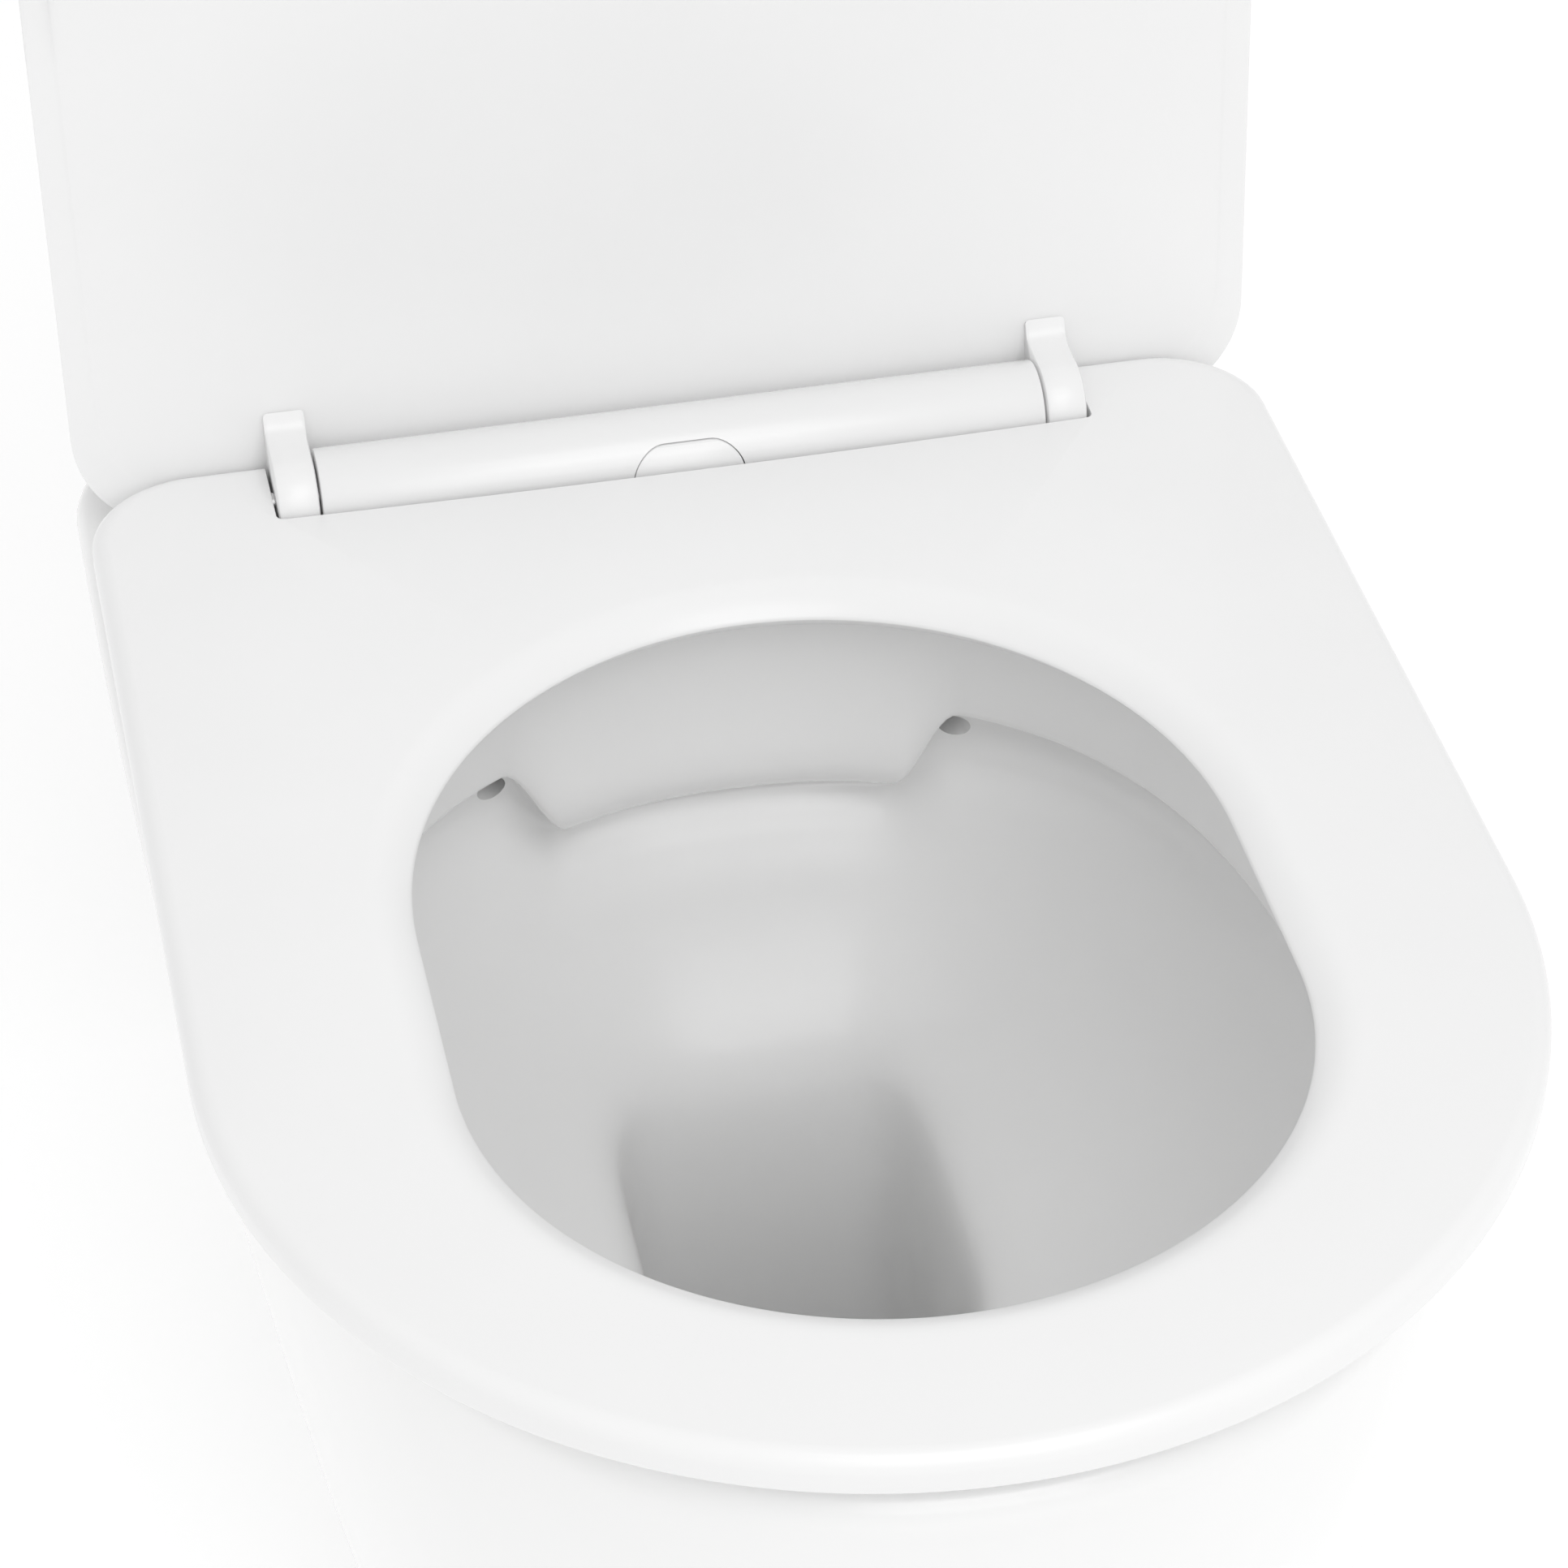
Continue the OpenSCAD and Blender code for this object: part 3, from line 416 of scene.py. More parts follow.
# bowl: height, half-width, rear end, front end, rear squareness, front squareness
BOWL = np.array([
    [400.0, 142.0, 44.5, -293, 2.4, 2.1], [399.0, 139.6, 42.1, -290.6, 2.4, 2.1],
    [397.4, 136.9, 39.4, -287.8, 2.4, 2.1], [395.0, 136.1, 38.6, -287.1, 2.4, 2.1],
    [380.0, 136.0, 38.5, -287, 2.4, 2.1], [363.5, 136.0, 38.5, -287, 2.4, 2.1],
    [359.8, 136.4, 38.8, -287, 2.4, 2.1], [357.8, 138.0, 40.2, -286.5, 2.4, 2.1],
    [356.6, 141.2, 43.2, -286, 2.4, 2.1], [354.4, 145.8, 46.6, -285, 2.4, 2.1],
    [349.0, 148.6, 48.8, -284, 2.4, 2.1], [341.0, 149.6, 49.4, -284, 2.4, 2.1],
    [334.0, 147.8, 48.2, -282, 2.4, 2.1], [328.0, 143.0, 45.2, -278, 2.4, 2.1],
    [320.0, 137.0, 41.2, -271.5, 2.4, 2.1],
    [300.0, 122.5, 33.0, -253, 2.45, 2.1], [285.0, 108.0, 24.5, -234, 2.55, 2.15],
    [272.0, 90.0, 15.5, -211, 2.75, 2.2], [262.0, 72.0, 7.5, -187, 3.1, 2.3],
    [255.0, 58.5, 2.0, -165, 3.7, 2.4], [248.0, 51.0, -2.5, -150, 4.4, 2.6],
    [240.0, 47.8, -6.0, -142, 5.0, 2.8], [225.0, 46.2, -10.0, -134, 5.0, 2.8],
    [200.0, 45.0, -15.0, -128, 4.6, 2.7], [170.0, 44.0, -19.0, -120, 4.0, 2.5],
    [140.0, 41.0, -22.0, -108, 3.2, 2.4], [118.0, 38.5, -24.5, -94, 2.7, 2.2],
    [98.0, 33.0, -28.5, -78, 2.5, 2.1], [86.0, 25.0, -35.0, -64, 2.3, 2.1],
    [80.0, 13.0, -43.0, -54, 2.1, 2.1]])
BOWL_WIDEST = 0.52        # where the bowl is widest, as a share of its length from the rear
# what the deflector at the rear does to the same levels: height, reach to the front
BRIDGE = {
    380.0: (374.5, 4.0), 363.5: (343.5, 9.0), 359.8: (337.0, 8.3), 357.8: (333.2, 7.5), 356.6: (330.8, 7.5),
    354.4: (329.3, 7.0), 349.0: (328.0, 4.5), 341.0: (325.0, 1.5), 334.0: (321.0, 0.0), 320.0: (313.5, 0.0)}
DEFLECTOR_HW, DEFLECTOR_BLEND, DEFLECTOR_BOW, DEFLECTOR_BOW_HW = 70.0, 20.0, 0.10, 60.0
# water ports in the wall under the lip, beside the deflector
PORT_X, PORT_Y, PORT_Z, PORT_R, PORT_ANGLE = 72.0, 34.5, 345.6, 4.0, 14.0


def refine(table, per):
    """Cubic rows between the rows of a table."""
    m = len(table)
    slope = np.gradient(table, axis=0)
    out = []
    for k in range(m - 1):
        for j in range(per):
            u = j / per
            h = (2 * u**3 - 3 * u**2 + 1, u**3 - 2 * u**2 + u, -2 * u**3 + 3 * u**2, u**3 - u**2)
            out.append(h[0] * table[k] + h[1] * slope[k] + h[2] * table[k + 1] + h[3] * slope[k + 1])
    out.append(table[-1])
    return np.array(out)


def bowl_ring(row, g=0.0, bridge=None):
    """One level of the bowl, g outside its surface."""
    z, hw, yr, yf, nr, nf = row
    hw, yr, yf = hw + g, yr + g, yf - g
    ym = mix(yr, yf, BOWL_WIDEST)
    t = np.pi * np.arange(1, N_REAR + 1) / (N_REAR + 1)
    rear = np.stack([-hw * spow(np.cos(t), 2 / nr), ym + (yr - ym) * np.abs(np.sin(t)) ** (2 / nr)], 1)
    flat = np.concatenate([front_arc(hw, ym, yf, nf), rear])
    ring = np.column_stack([flat, np.full(len(flat), z)])
    if bridge is not None:
        dz, reach = bridge
        x, back = np.abs(ring[:, 0]), ring[:, 1] > ym
        b = ease((DEFLECTOR_HW - x) / DEFLECTOR_BLEND) * back
        bow = 1 - DEFLECTOR_BOW * (1 - np.clip(x / DEFLECTOR_BOW_HW, 0, 1) ** 2)
        ring[:, 2] += dz * b * bow
        ring[:, 1] -= reach * b
    return ring


def bowl_rings():
    """The bowl's inside from the rim down, with the deflector blended in."""
    levels = refine(BOWL, 3)
    zs = np.array(sorted(BRIDGE))
    dz = np.array([BRIDGE[z][0] - z for z in zs])
    reach = np.array([BRIDGE[z][1] for z in zs])
    # no effect from these two heights on
    zs = np.concatenate([[300.0], zs, [396.0]])
    dz = np.concatenate([[0.0], dz, [0.0]])
    reach = np.concatenate([[0.0], reach, [0.0]])
    return [bowl_ring(row, bridge=(np.interp(row[0], zs, dz), np.interp(row[0], zs, reach)))
            for row in levels]


TRAP_R, TRAP_Z, TRAP_BEND, TRAP_RISE, RISER_Y = 36.0, 112.0, 50.0, 24.0, 95.0
OUTLET_Y = RISER_Y + TRAP_BEND + 52
TRAP_Y, TRAP_WALL_Y, HUB_Y = -34.0, -17.0, 257.0


def trap_stations(y_start):
    """Middle line of the trapway: Y, Z and lean, in at the sump, up, over and down to the outlet."""
    path = [(y, TRAP_Z, 90.0) for y in (y_start, 15)]
    for a in np.linspace(0, 90, 10):
        c = math.radians(a)
        path.append((RISER_Y - TRAP_BEND * (1 - math.sin(c)), TRAP_Z + TRAP_BEND * (1 - math.cos(c)), 90 - a))
    for a in np.linspace(0, 90, 10):
        c = math.radians(a)
        path.append((RISER_Y + TRAP_BEND * (1 - math.cos(c)),
                     TRAP_Z + TRAP_BEND + TRAP_RISE + TRAP_BEND * math.sin(c), a))
    top = TRAP_Z + 2 * TRAP_BEND + TRAP_RISE
    for t in np.linspace(0, 1, 13)[1:]:
        path.append((mix(RISER_Y + TRAP_BEND, OUTLET_Y, t), mix(top, OUTLET_Z, float(ease(t))), 90.0))
    return path


def trap_tube(r, r_end, y_start, n=64, tail=()):
    """Rings along the trapway, and on through the tail's (Y, radius) pairs."""
    path = trap_stations(y_start)
    last = len(path) - 1
    rings = []
    for k, (y, z, lean) in enumerate(path):
        q = mix(r, r_end, float(ease((k - 22) / (last - 22))))
        c = math.radians(lean)
        rings.append([(q * math.cos(t), y - q * math.sin(t) * math.cos(c), z + q * math.sin(t) * math.sin(c))
                      for t in (2 * math.pi * i / n for i in range(n))])
    for y, q in tail:
        rings.append([(q * math.cos(t), y, OUTLET_Z + q * math.sin(t))
                      for t in (2 * math.pi * i / n for i in range(n))])
    return rings


def make_pan():
    last = BOWL[-1]
    # the bowl's outside: the same levels a little lower, and more so at the bottom
    low = [r for r in BOWL[::-1] if r[0] < 340]
    drops = [10, 7] + [5] * (len(low) - 2)
    under = [bowl_ring([r[0] - d, *r[1:]], BOWL_WALL) for r, d in zip(low, drops)]
    ceiling = bowl_ring([PAN_H - SLAB, 136, 38.5, -287, 2.4, 2.1], WALL + 2)
    inner = [pan_ring(z, WALL + (2 if z > 350 else 0)) for z in (PAN_H - SLAB, 350, 300, 230, 150, 70, 0)]
    outer = [pan_ring(0, 2.0), pan_ring(0.6, 0.8), pan_ring(2.5, 0)]
    outer += [pan_ring(z, 0) for z in np.linspace(12, 386, 34)]
    top = [pan_ring(h, w) for w, h in edge(12, PAN_H, 9)]
    flat = [pan_ring(PAN_H, 15)]
    bowl = bowl_rings()
    rings = under + [ceiling] + inner + outer + top + flat + bowl
    mid = (last[2] + last[3]) / 2
    v, f = loft(rings, cap_a=(0, mid, 68), cap_b=(0, mid, 78.5))
    pan = add_mesh("pan_china", v, f, "ceramic")
    outward(pan)
    cutters = [pocket(-84, 84, Y_BACK - 40, Y_BACK + 20, -1, 315),
               plain("c", *loft(trap_tube(TRAP_R, OUTLET_R - 9, TRAP_Y), cap_a=(0, TRAP_Y, TRAP_Z),
                                cap_b=(0, OUTLET_Y, OUTLET_Z)))]
    for s in (-1, 1):
        dx, dy = s * math.sin(math.radians(PORT_ANGLE)), -math.cos(math.radians(PORT_ANGLE))
        cutters.append(plain("c", *rod_mesh((s * PORT_X - 30 * dx, PORT_Y - 30 * dy, PORT_Z),
                                            (s * PORT_X + 5 * dx, PORT_Y + 5 * dy, PORT_Z), PORT_R)))
        cutters.append(bore(s * BOLT_X, TANK_Y, DECK_BOT, DECK_TOP, BOLT_HOLE_R))
        cutters.append(bore(s * STUD_X, AXIS_Y, DECK_BOT, DECK_TOP, STUD_HOLE_R))
    cutters.append(bore(0, TANK_Y, DECK_BOT, DECK_TOP, FLUSH_HOLE_R, 96))
    cut(pan, cutters)
    shade(pan, 32)
    place(pan, "base", ["pan"])

    # trapway, spigot, flush duct and floor lugs under and behind the bowl
    outer = trap_tube(TRAP_R + 8, OUTLET_R + 3, TRAP_WALL_Y, 72,
                      tail=[(OUTLET_Y + 6, OUTLET_R + 5), (HUB_Y - 3, OUTLET_R + 5),
                            (HUB_Y - 0.6, OUTLET_R + 3.8), (HUB_Y - 0.2, OUTLET_R + 1),
                            (HUB_Y + 0.8, OUTLET_R), (Y_BACK - 14, OUTLET_R),
                            (Y_BACK - 9.5, OUTLET_R - 1), (Y_BACK - 8, OUTLET_R - 3)])
    inner = trap_tube(TRAP_R, OUTLET_R - 9, TRAP_WALL_Y, 72,
                      tail=[(OUTLET_Y + 4, OUTLET_R - 8), (Y_BACK - 10, OUTLET_R - 8),
                            (Y_BACK - 8, OUTLET_R - 6.5)])
    v, f = loft(outer + inner[::-1], closed=True)
    trap = add_mesh("trapway_and_spigot", v, f, "ceramic")
    outward(trap)
    shade(trap, 40)
    place(trap, "base", ["pan"])
    v, f = box_mesh(-TRAP_R - 8, TRAP_R + 8, TRAP_Y + 8, TRAP_WALL_Y + 3, TRAP_Z - TRAP_R - 10, TRAP_Z)
    collar = add_mesh("trapway_collar", v, f, "ceramic")
    bevel(collar, 3, 3)
    cut(collar, [plain("c", *rod_mesh((0, TRAP_Y, TRAP_Z), (0, TRAP_WALL_Y + 10, TRAP_Z), TRAP_R, 64))])
    shade(collar, 40)
    place(collar, "base", ["pan"])
    # flush duct
    hw, y0, y1, z0, z1, wall = 46, 50, 285, 335, 392, 8
    v, f = box_mesh(-hw, hw, y0, y1, z0, z1)
    duct = add_mesh("flush_duct", v, f, "ceramic")
    cut(duct, [pocket(-hw + wall, hw - wall, y0 - 10, y1 - wall, z0 + wall, z1 - wall - 1),
               bore(0, TANK_Y, DECK_BOT, DECK_TOP, FLUSH_HOLE_R, 96)])
    bevel(duct, 5, 4, 50)
    shade(duct, 40)
    place(duct, "base", ["pan"])
    for s, side in ((-1, "left"), (1, "right")):
        v, f = box_mesh(s * LUG_X - 21, s * LUG_X + 21, LUG_Y - 26, LUG_Y + 18, 0.2, LUG_T)
        lug = add_mesh(f"floor_lug_{side}", v, f, "ceramic")
        bevel(lug, 2.5, 3)
        cut(lug, [bore(s * LUG_X, LUG_Y, -2, LUG_T + 5.8, LUG_HOLE_R)])
        shade(lug, 40)
        place(lug, "base", ["pan"])


# ---- seat -----------------------------------------------------------------------

SEAT_START, SEAT_REAR = Y_FRONT + 178, AXIS_Y + 14.6
OPEN_MID, OPEN_HW, OPEN_FLAT, OPEN_FRONT, OPEN_REAR = Y_FRONT + 189.7, 113.3, 30.5, 106.2, 118.4
OPEN_ROLL_W, OPEN_ROLL_H = 13.0, 6.4


def d_outline(hw, y_tip, y_start, y_rear, n, cx, cy, front=160, side=24, corner=14):
    arc = front_arc(hw, y_start, y_tip, n, front)
    ys = np.linspace(y_start, y_rear - cy, side + 1)[1:-1]
    t = np.linspace(0, math.pi / 2, corner + 1)
    left = np.concatenate([np.stack([np.full(len(ys), -hw), ys], 1),
                           np.stack([-hw + cx - cx * np.cos(t), y_rear - cy + cy * np.sin(t)], 1)])
    xs = np.linspace(-hw + cx, hw - cx, 30)[1:-1]
    back = np.stack([xs, np.full(len(xs), y_rear)], 1)
    right = left[::-1].copy()
    right[:, 0] *= -1
    return np.concatenate([arc, left, back, right])


def at(flat, z):
    return np.column_stack([flat, np.full(len(flat), z)])


def seat_opening(g, count):
    """The seat's opening, g outside its edge, with a given number of points."""
    t = np.linspace(0, math.pi, 161)
    front = np.stack([(OPEN_HW + g) * np.cos(t), OPEN_MID - OPEN_FLAT - (OPEN_FRONT + g) * np.sin(t)], 1)
    rest = count - 161
    straight = 14
    arc_n = rest - 2 * straight
    ys = np.linspace(OPEN_MID - OPEN_FLAT, OPEN_MID + OPEN_FLAT, straight + 1)[1:]
    a = np.linspace(0, math.pi, arc_n + 2)[1:-1]
    left = np.stack([np.full(straight, -(OPEN_HW + g)), ys], 1)
    arc = np.stack([-(OPEN_HW + g) * np.cos(a), OPEN_MID + OPEN_FLAT + (OPEN_REAR + g) * np.sin(a)], 1)
    right = left[::-1].copy()
    right[:, 0] *= -1
    return np.concatenate([front, left, arc, right])


def make_seat():
    """The D-shaped ring: outside round from below, then the opening's roll and underside."""
    outer = edge(3.2, SEAT_BOT, 6, up=False) + edge(5.5, SEAT_TOP, 12)
    # the opening rolls over gently, ends in a crisp edge and turns back underneath
    roll = [(w, SEAT_TOP - OPEN_ROLL_H * (1 - w / OPEN_ROLL_W) ** 2)
            for w in np.linspace(0.5, OPEN_ROLL_W, 16)]
    roll = [(0.0, SEAT_TOP - OPEN_ROLL_H - 0.7), (0.1, SEAT_TOP - OPEN_ROLL_H - 0.1)] + roll
    inner_low = [(7.0, SEAT_BOT), (5.0, SEAT_BOT + 0.6), (1.6, SEAT_TOP - OPEN_ROLL_H - 2.8),
                 (0.5, SEAT_TOP - OPEN_ROLL_H - 1.6)]

    def out(inset, z):
        return at(d_outline(SEAT_HW - inset, Y_FRONT + inset, SEAT_START, SEAT_REAR - inset, 2, 30, 30), z)
    rings = [out(w, z) for w, z in outer]
    n = len(rings[0])
    rings += [at(seat_opening(w, n), z) for w, z in roll[::-1]]
    rings += [at(seat_opening(w, n), z) for w, z in inner_low[::-1]]
    v, f = loft(rings, closed=True)
    seat = add_mesh("seat_ring_moulding", v, f, "duroplast")
    outward(seat)
    cut(seat, [notch_cutter()])
    bevel(seat, 0.9, 3, 50)
    cut(seat, [pin_bore(s * (NOTCH_HW - 5), s * (NOTCH_HW + 22)) for s in (-1, 1)])
    shade(seat, 35)
    place(seat, "seat", ["seat_ring"])


def notch_cutter():
    """Notch with a slightly bowed front and small corner radii."""
    bow = 1.6
    pts = []
    xs = np.linspace(-NOTCH_HW + 2.2, NOTCH_HW - 2.2, 41)
    for a in np.linspace(math.pi, 1.5 * math.pi, 5)[:-1]:
        pts.append((-NOTCH_HW + 2.2 + 2.2 * math.cos(a), NOTCH_Y + 2.2 + 2.2 * math.sin(a)))
    pts += [(x, NOTCH_Y - bow * (1 - (x / NOTCH_HW) ** 2)) for x in xs]
    for a in np.linspace(1.5 * math.pi, 2 * math.pi, 5)[1:]:
        pts.append((NOTCH_HW - 2.2 + 2.2 * math.cos(a), NOTCH_Y + 2.2 + 2.2 * math.sin(a)))
    pts += [(NOTCH_HW, NOTCH_Y + 80), (-NOTCH_HW, NOTCH_Y + 80)]
    m = len(pts)
    v = [(x, y, z) for z in (SEAT_BOT - 5, SEAT_TOP + 20) for x, y in pts]
    f = [tuple(range(m))[::-1], tuple(range(m, 2 * m))] + \
        [(i, (i + 1) % m, m + (i + 1) % m, m + i) for i in range(m)]
    return plain("c", v, f)


# ---- lid, drawn closed and turned open ------------------------------------------

LID_UNDER, LID_LIP = AXIS_Z + 15.6, SEAT_TOP + 3
LID_HW, LID_REAR = SEAT_HW + 1.3, AXIS_Y + 12
LIP_FADE_Y, LIP_FADE_L = -115.0, 75.0


def make_lid():
    under = [(60, LID_UNDER), (30, LID_UNDER), (13, LID_UNDER)] + \
            [(13 - 5 * math.sin(a), LID_UNDER - 4.2 + 4.2 * math.cos(a))
             for a in np.linspace(0.2, math.pi / 2, 7)]
    lip = [(7.4, LID_LIP + 2), (6.6, LID_LIP + 0.7), (5.4, LID_LIP + 0.1), (3.8, LID_LIP),
           (2.0, LID_LIP + 0.3), (0.8, LID_LIP + 1.0), (0.2, LID_LIP + 2.2)]
    top = [(0, LID_LIP + 4.5), (0, LID_UNDER + 1.4)] + \
          [(6 - 6 * math.cos(a), LID_UNDER + 1.4 + 4.9 * math.sin(a)) for a in np.linspace(0.1, 1.25, 9)] + \
          [(9, LID_UNDER + 7.0), (20, LID_UNDER + 7.6), (60, LID_UNDER + 8.3)]
    mid = (Y_FRONT + LID_REAR) / 2

    def ring(inset, z):
        tip, rear = Y_FRONT - 1.5 + inset, LID_REAR - inset
        return at(d_outline(LID_HW - inset, tip, SEAT_START, rear, 2, 30, 32), z)
    v, f = loft([ring(w, z) for w, z in under + lip + top],
                cap_a=(0, mid, LID_UNDER), cap_b=(0, mid, LID_UNDER + 8.6))
    # the lip fades out towards the hinge
    for i, (x, y, z) in enumerate(v):
        if z < LID_UNDER:
            fade = float(ease((y - LIP_FADE_Y) / LIP_FADE_L))
            v[i] = (x, y, LID_UNDER - (LID_UNDER - z) * (1 - 0.96 * fade))
    lid = add_mesh("lid_moulding", v, f, "duroplast")
    outward(lid)
    bevel(lid, 1.2, 3, 50)
    turn(lid)
    shade(lid, 30)
    place(lid, "lid", ["lid_shell"])
    for s, side in ((-1, "left"), (1, "right")):
        make_arm(s * (ARM_IN + ARM_OUT) / 2, side)


def turn(ob):
    pivot = Vector((0, AXIS_Y * MM, AXIS_Z * MM))
    ob.data.transform(Matrix.Translation(pivot) @ Matrix.Rotation(-math.radians(LID_OPEN), 4, "X")
                      @ Matrix.Translation(-pivot))


def make_arm(x, side):
    """Lid arm in the open pose: a barrel with a shelf back to the lid, flared where they meet."""
    hw = (ARM_OUT - ARM_IN) / 2
    r = BARREL_R
    # profile in the Y-Z plane, from under the barrel round the front and over the top
    prof = [(AXIS_Y + r * math.cos(a), AXIS_Z + r * math.sin(a))
            for a in np.linspace(math.radians(-40), math.radians(-268), 58)]
    top = AXIS_Z + r + 0.1
    plane_y = AXIS_Y + 15.9
    prof += [(AXIS_Y + 4.5, top - 0.2), (AXIS_Y + 9, top), (plane_y - 3.4, top + 0.5),
             (plane_y - 1.4, top + 1.5), (plane_y - 0.3, top + 3.4), (plane_y + 0.8, top + 6)]
    prof += [(plane_y + 3, top + 4), (plane_y + 3, AXIS_Z - 11)]
    m = len(prof)
    v, f = [], []
    insets = [(-hw, 1.0), (-hw + 0.35, 0.35), (-hw + 1.1, 0.0), (hw - 1.1, 0.0), (hw - 0.35, 0.35), (hw, 1.0)]
    c = np.array([AXIS_Y + 2, AXIS_Z])
    for dx, ins in insets:
        for y, z in prof:
            d = np.array([y, z]) - c
            L = np.linalg.norm(d)
            k = (L - ins) / L
            v.append((x + dx, c[0] + d[0] * k, c[1] + d[1] * k))
    for k in range(len(insets) - 1):
        for i in range(m):
            j = (i + 1) % m
            f.append((k * m + i, k * m + j, (k + 1) * m + j, (k + 1) * m + i))
    f.append(tuple(range(m))[::-1])
    f.append(tuple(range((len(insets) - 1) * m, len(insets) * m)))
    arm = add_mesh(f"lid_arm_{side}", v, f, "duroplast")
    outward(arm)
    cut(arm, [pin_bore(x - 10, x + 10)])
    shade(arm, 35)
    place(arm, "lid", ["lid_shell"])


# ---- hinge bar and release button ------------------------------------------------

def tube_x(x0, x1, r, n=160, lip=0.6):
    """A cylinder on the hinge axis with softened ends."""
    rings = []
    for x, q in ((x0, r - lip), (x0 + lip * 0.3, r - lip * 0.3), (x0 + lip, r), (x1 - lip, r),
                 (x1 - lip * 0.3, r - lip * 0.3), (x1, r - lip)):
        rings.append([(x, AXIS_Y + q * math.cos(t), AXIS_Z + q * math.sin(t))
                      for t in (2 * math.pi * i / n for i in range(n))])
    return loft(rings, cap_a=(x0, AXIS_Y, AXIS_Z), cap_b=(x1, AXIS_Y, AXIS_Z))


def window(gap, y0, y1):
    """Half-oval of the button, run along Y."""
    hw, top, base, r = 17.0 + gap, AXIS_Z + 10.2 + gap, AXIS_Z - 6 - gap, 10.0 + gap
    pts = [(-hw, base), (hw, base)]
    for x, start in ((hw - r, 0), (-hw + r, math.pi / 2)):
        pts += [(x + r * math.cos(a), top - r + r * math.sin(a))
                for a in np.linspace(start, start + math.pi / 2, 14)]
    m = len(pts)
    v = [(x, y, z) for y in (y0, y1) for x, z in pts]
    f = [tuple(range(m)), tuple(range(m, 2 * m))[::-1]] + \
        [(i, m + i, m + (i + 1) % m, (i + 1) % m) for i in range(m)]
    return plain("c", v, f)


def make_hinge():
    v, f = tube_x(-BAR_HW, BAR_HW, BARREL_R)
    bar = add_mesh("hinge_bar_cover", v, f, "hinge_plastic")
    outward(bar)
    cutters = [pocket(-BAR_HW - 1, BAR_HW + 1, AXIS_Y - 20, AXIS_Y + 20, PAN_H - 10, PAN_H + 1.7),
               plain("c", *tube_x(-BAR_HW + 3, BAR_HW - 3, BARREL_R - 2, 96)),
               pocket(-BAR_HW + 12, BAR_HW - 12, AXIS_Y - 10.5, AXIS_Y + 10.5, PAN_H - 3, PAN_H + 4.3),
               pocket(-7.6, 7.6, AXIS_Y - 15, AXIS_Y - 4.6, PAN_H, PAN_H + 10.1),
               window(0.32, AXIS_Y - 30, AXIS_Y),
               pin_bore(-130, 130)]
    cut(bar, cutters)
    shade(bar, 35)
    place(bar, "base", ["hinge_bar"])
    for s, side in ((-1, "left"), (1, "right")):
        v, f = box_mesh(s * STUD_X - 10, s * STUD_X + 10, AXIS_Y - 8, AXIS_Y + 8, PAN_H + 4.4, PAN_H + 9.8)
        block = add_mesh(f"stud_socket_{side}", v, f, "hinge_plastic")
        bevel(block, 0.6, 2)
        cut(block, [bore(s * STUD_X, AXIS_Y, PAN_H, PAN_H + 9, 4.55, 48)])
        shade(block, 35)
        place(block, "base", ["hinge_bar"])

    v, f = tube_x(-30, 30, BARREL_R + 0.12, 200)
    button = add_mesh("release_button_cap", v, f, "hinge_plastic")
    outward(button)
    cut(button, [window(-0.02, AXIS_Y - 30, AXIS_Y - 2)], "INTERSECT")
    cut(button, [plain("c", *tube_x(-40, 40, BARREL_R - 2, 96))])
    bevel(button, 0.35, 2, 50)
    stem = plain("stem", *box_mesh(-7, 7, AXIS_Y - 13.2, AXIS_Y - 9.2, PAN_H + 2.3, PAN_H + 14.3))
    plate_hw = STUD_X + 12
    plate = plain("plate", *box_mesh(-plate_hw, plate_hw, AXIS_Y - 10.2, AXIS_Y + 6,
                                     PAN_H + 2.3, PAN_H + 3.9))
    for s in (-1, 1):
        cut(plate, [bore(s * STUD_X, AXIS_Y - 4, PAN_H, PAN_H + 8, 4.9),
                    bore(s * STUD_X, AXIS_Y, PAN_H, PAN_H + 8, 3.1),
                    pocket(s * STUD_X - 3.1, s * STUD_X + 3.1, AXIS_Y - 4, AXIS_Y, PAN_H, PAN_H + 8)])
    cut(button, [stem, plate], "UNION")
    if not button.data.materials:
        button.data.materials.append(LOOKS["hinge_plastic"])
    shade(button, 35)
    place(button, "release", ["release_button"])


# ---- cistern ----------------------------------------------------------------------

def round_rect(w, y0, y1, r_front, r_rear, arc=12, flat=8):
    """A rectangle with round corners and extra points along its long sides."""
    hw = w / 2
    pts = []
    corners = [(hw - r_front, y0 + r_front, r_front, -90), (hw - r_rear, y1 - r_rear, r_rear, 0),
               (-hw + r_rear, y1 - r_rear, r_rear, 90), (-hw + r_front, y0 + r_front, r_front, 180)]
    for cx, cy, r, a0 in corners:
        for i in range(arc + 1):
            a = math.radians(a0 + 90 * i / arc)
            pts.append((cx + r * math.cos(a), cy + r * math.sin(a)))
    out = []
    m = len(pts)
    for i in range(m):
        out.append(pts[i])
        a, b = pts[i], pts[(i + 1) % m]
        if math.hypot(b[0] - a[0], b[1] - a[1]) > 30:
            out += [(mix(a[0], b[0], k / flat), mix(a[1], b[1], k / flat)) for k in range(1, flat)]
    return np.array(out)


def rect_ring(w, y0, y1, rf, rr, inset, z):
    """round_rect at a height, moved in by an inset."""
    radii = [max(r - inset, 1.5) for r in (rf, rr)]
    return at(round_rect(w - 2 * inset, y0 + inset, y1 - inset, *radii), z)


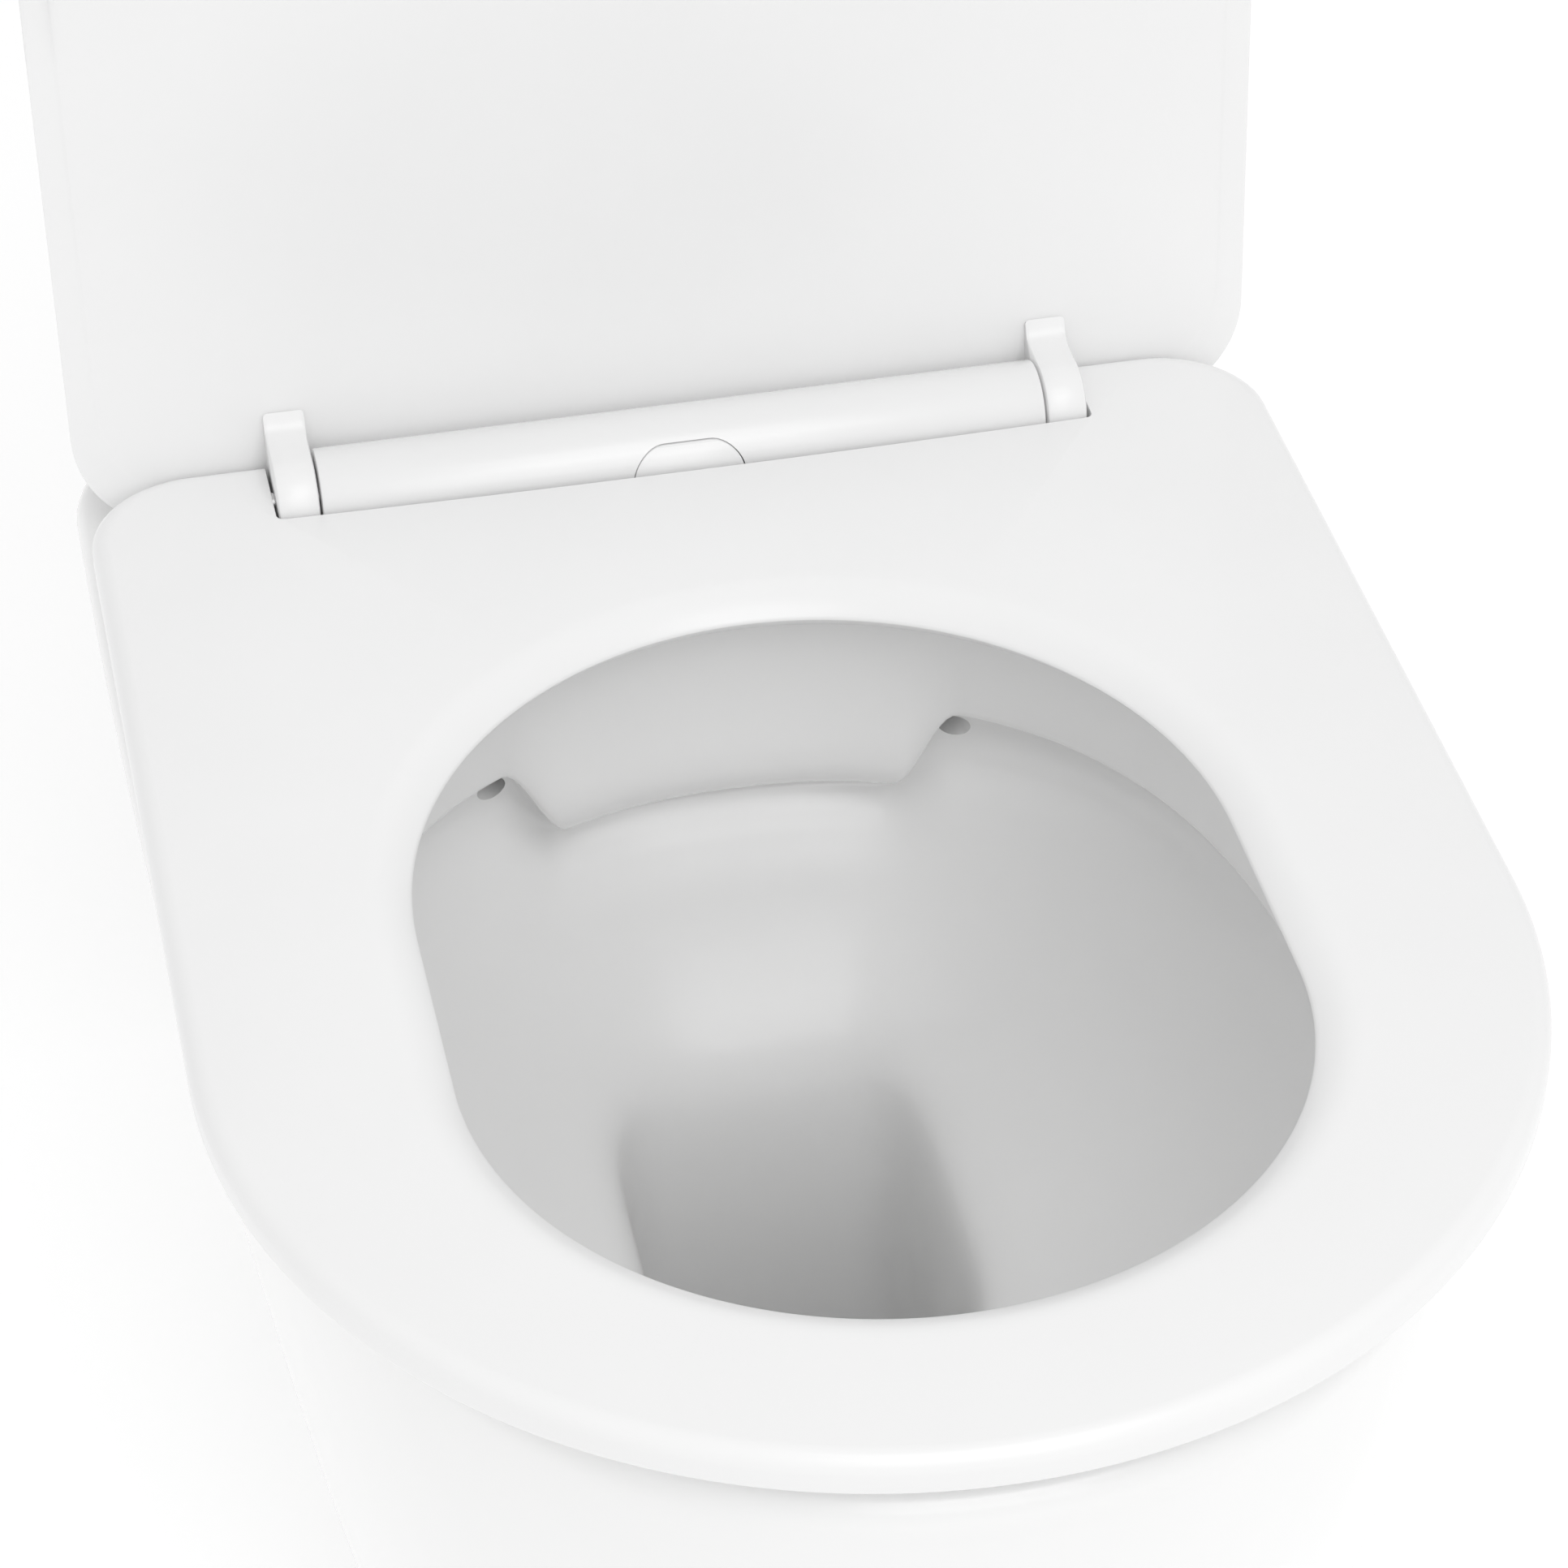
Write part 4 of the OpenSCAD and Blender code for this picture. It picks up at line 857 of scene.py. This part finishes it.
def make_cistern():
    y0 = Y_BACK - TANK_D
    t = 9

    def out(i, z):
        return rect_ring(TANK_W, y0, Y_BACK, 34, 14, i, z)
    rings = [out(40, TANK_Z)] + [out(w, z) for w, z in edge(6, TANK_Z, 7, up=False)]
    rings += [out(0, z) for z in np.linspace(TANK_Z + 20, TANK_TOP - 10, 14)]
    rings += [out(w, z) for w, z in edge(2, TANK_TOP, 4)]
    rings += [out(t - 2, TANK_TOP), out(t - 0.6, TANK_TOP - 0.6)]
    rings += [out(t, z) for z in np.linspace(TANK_TOP - 2, TANK_FLOOR + 12, 10)]
    rings += [out(t + w, z) for w, z in edge(10, TANK_FLOOR, 6, up=False)[::-1]] + [out(40, TANK_FLOOR)]
    v, f = loft(rings, cap_a=(0, TANK_Y, TANK_Z), cap_b=(0, TANK_Y, TANK_FLOOR))
    tank = add_mesh("cistern_china", v, f, "ceramic")
    outward(tank)
    cutters = [bore(0, TANK_Y, TANK_Z - 1, TANK_FLOOR + 2, TANK_HOLE_R, 96),
               bore(FILL_X, TANK_Y, TANK_Z - 1, TANK_FLOOR + 2, INLET_HOLE_R)]
    for s in (-1, 1):
        cutters.append(bore(s * BOLT_X, TANK_Y, TANK_Z - 1, TANK_FLOOR + 2, BOLT_HOLE_R))
        wall_hole = [(s * WALL_HOLE_X, y, WALL_HOLE_Z) for y in (Y_BACK - 20, Y_BACK + 5)]
        cutters.append(plain("c", *rod_mesh(*wall_hole, WALL_HOLE_R)))
    cut(tank, cutters)
    shade(tank, 35)
    place(tank, "base", ["cistern_tank"])

    over = 3.0
    ly = y0 - over

    def lid(i, z):
        return rect_ring(TANK_W + 2 * over, ly, Y_BACK, 37, 15, i, z)
    rings = [lid(16, TANK_TOP + 20), lid(11, TANK_TOP + 12), lid(9, TANK_TOP + 1), lid(7.5, TANK_TOP)]
    rings += [lid(w, z) for w, z in edge(2.0, TANK_TOP, 5, up=False)]
    rings += [lid(w, z) for w, z in edge(9, LID_TOP - 0.4, 10)]
    rings += [lid(20, LID_TOP - 0.15), lid(45, LID_TOP)]
    v, f = loft(rings, cap_a=(0, TANK_Y, TANK_TOP + 22), cap_b=(0, TANK_Y, LID_TOP))
    top = add_mesh("cistern_lid_china", v, f, "ceramic")
    outward(top)
    cut(top, [bore(0, TANK_Y, TANK_TOP, LID_TOP + 5, BUTTON_HOLE_R, 96)])
    shade(top, 35)
    place(top, "cistern_lid", ["cistern_lid"])
    rim_o = [rect_ring(TANK_W - 19.4, y0 + 9.8, Y_BACK - 9.8, 24, 8, i, z)
             for i, z in ((1.0, TANK_TOP - 8), (0, TANK_TOP - 7), (0, TANK_TOP + 12), (0, TANK_TOP + 22))]
    rim_i = [rect_ring(TANK_W - 19.4, y0 + 9.8, Y_BACK - 9.8, 24, 8, i, z)
             for i, z in ((6, TANK_TOP + 22), (6, TANK_TOP + 12), (6, TANK_TOP - 7), (5, TANK_TOP - 8))]
    v, f = loft(rim_o + rim_i, closed=True)
    rim = add_mesh("cistern_lid_locating_rim", v, f, "ceramic")
    outward(rim)
    shade(rim, 35)
    place(rim, "cistern_lid", ["cistern_lid"])


def coil(name, axis, r, wire, length, turns, slot, body, node, origin):
    """A closed-end coil spring as a swept tube."""
    n_turn, ring_n = 40, 12
    total = int(n_turn * turns)
    pts = []
    for i in range(total + 1):
        t = i / total
        a = 2 * math.pi * turns * t
        # dead coils at both ends
        h = wire + (length - 2 * wire) * float(np.clip((t - 0.12) / 0.76, 0, 1)) + (t - 0.5) * wire * 0.6
        pts.append(Vector((r * math.cos(a), r * math.sin(a), h)))
    rings = []
    for i, p in enumerate(pts):
        d = (pts[min(i + 1, total)] - pts[max(i - 1, 0)]).normalized()
        u = Vector((p.x, p.y, 0)).normalized()
        w = d.cross(u).normalized()
        rings.append([p + (u * math.cos(q) + w * math.sin(q)) * wire for q in
                      (2 * math.pi * k / ring_n for k in range(ring_n))])
    if axis == "y":
        rings = [[Vector((q.x, q.z, -q.y)) for q in ring] for ring in rings]
    o = Vector(origin)
    rings = [[q + o for q in ring] for ring in rings]
    v, f = loft(rings, cap_a=rings[0][0].lerp(rings[0][ring_n // 2], 0.5),
                cap_b=rings[-1][0].lerp(rings[-1][ring_n // 2], 0.5))
    ob = add_mesh(name, v, f, slot)
    outward(ob)
    shade(ob, 60)
    place(ob, body, [node])
    return ob


def make_springs():
    for s, side in ((-1, "full"), (1, "half")):
        ob = coil(f"{side}_flush_coil", "z", 5.0, 0.5, 18.4, 7, "steel", "cistern_lid",
                  f"{side}_flush_spring", (s * ROD_X, TANK_Y, LID_TOP - 26.7))
        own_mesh(ob)
    ob = coil("release_coil", "y", 2.6, 0.35, 17.2, 8, "steel", "base", "release_spring",
              (0, AXIS_Y - 8.8, PAN_H + 11))
    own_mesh(ob)


make_pan()
make_seat()
make_lid()
make_hinge()
make_cistern()
make_springs()


# ---- floor, light and camera ---------------------------------------------------------

def make_stage():
    bpy.ops.mesh.primitive_plane_add(size=1)
    floor = bpy.context.object
    floor.name = "studio_floor"
    floor.scale = (FLOOR_SIZE, FLOOR_SIZE, 1)
    floor.data.materials.append(floor_look())


def area(name, where, target, size, watts):
    L = bpy.data.lights.new(name, "AREA")
    L.energy, L.size = watts, size
    ob = bpy.data.objects.new(name, L)
    bpy.context.scene.collection.objects.link(ob)
    ob.location = where
    d = Vector(target) - Vector(where)
    ob.rotation_euler = d.to_track_quat("-Z", "Y").to_euler()


make_stage()
world = bpy.data.worlds.new("studio_world")
bpy.context.scene.world = world
world.use_nodes = True
bg = world.node_tree.nodes["Background"]
bg.inputs["Color"].default_value = (1, 1, 1, 1)
bg.inputs["Strength"].default_value = 0.8
area("key", (0.35, -1.4, 2.6), (0, 0, 0.4), 1.4, 10)
area("front", (0.1, -2.1, 1.8), (0, 0.05, 0.36), 1.5, 9)
bpy.context.scene.view_settings.view_transform = "Standard"

cam = bpy.data.cameras.new("camera")
cam.lens, cam.sensor_width = 109.94, 36.0
cam.clip_start = 0.02
cam_ob = bpy.data.objects.new("camera", cam)
bpy.context.scene.collection.objects.link(cam_ob)
AZ, EL = math.radians(-12.41), math.radians(38.995)
back = Vector((math.sin(AZ) * math.cos(EL), -math.cos(AZ) * math.cos(EL), math.sin(EL)))
cam_ob.location = (-0.2258, -1.0741, 1.2520)
cam_ob.rotation_euler = back.to_track_quat("Z", "Y").to_euler()
bpy.context.scene.camera = cam_ob
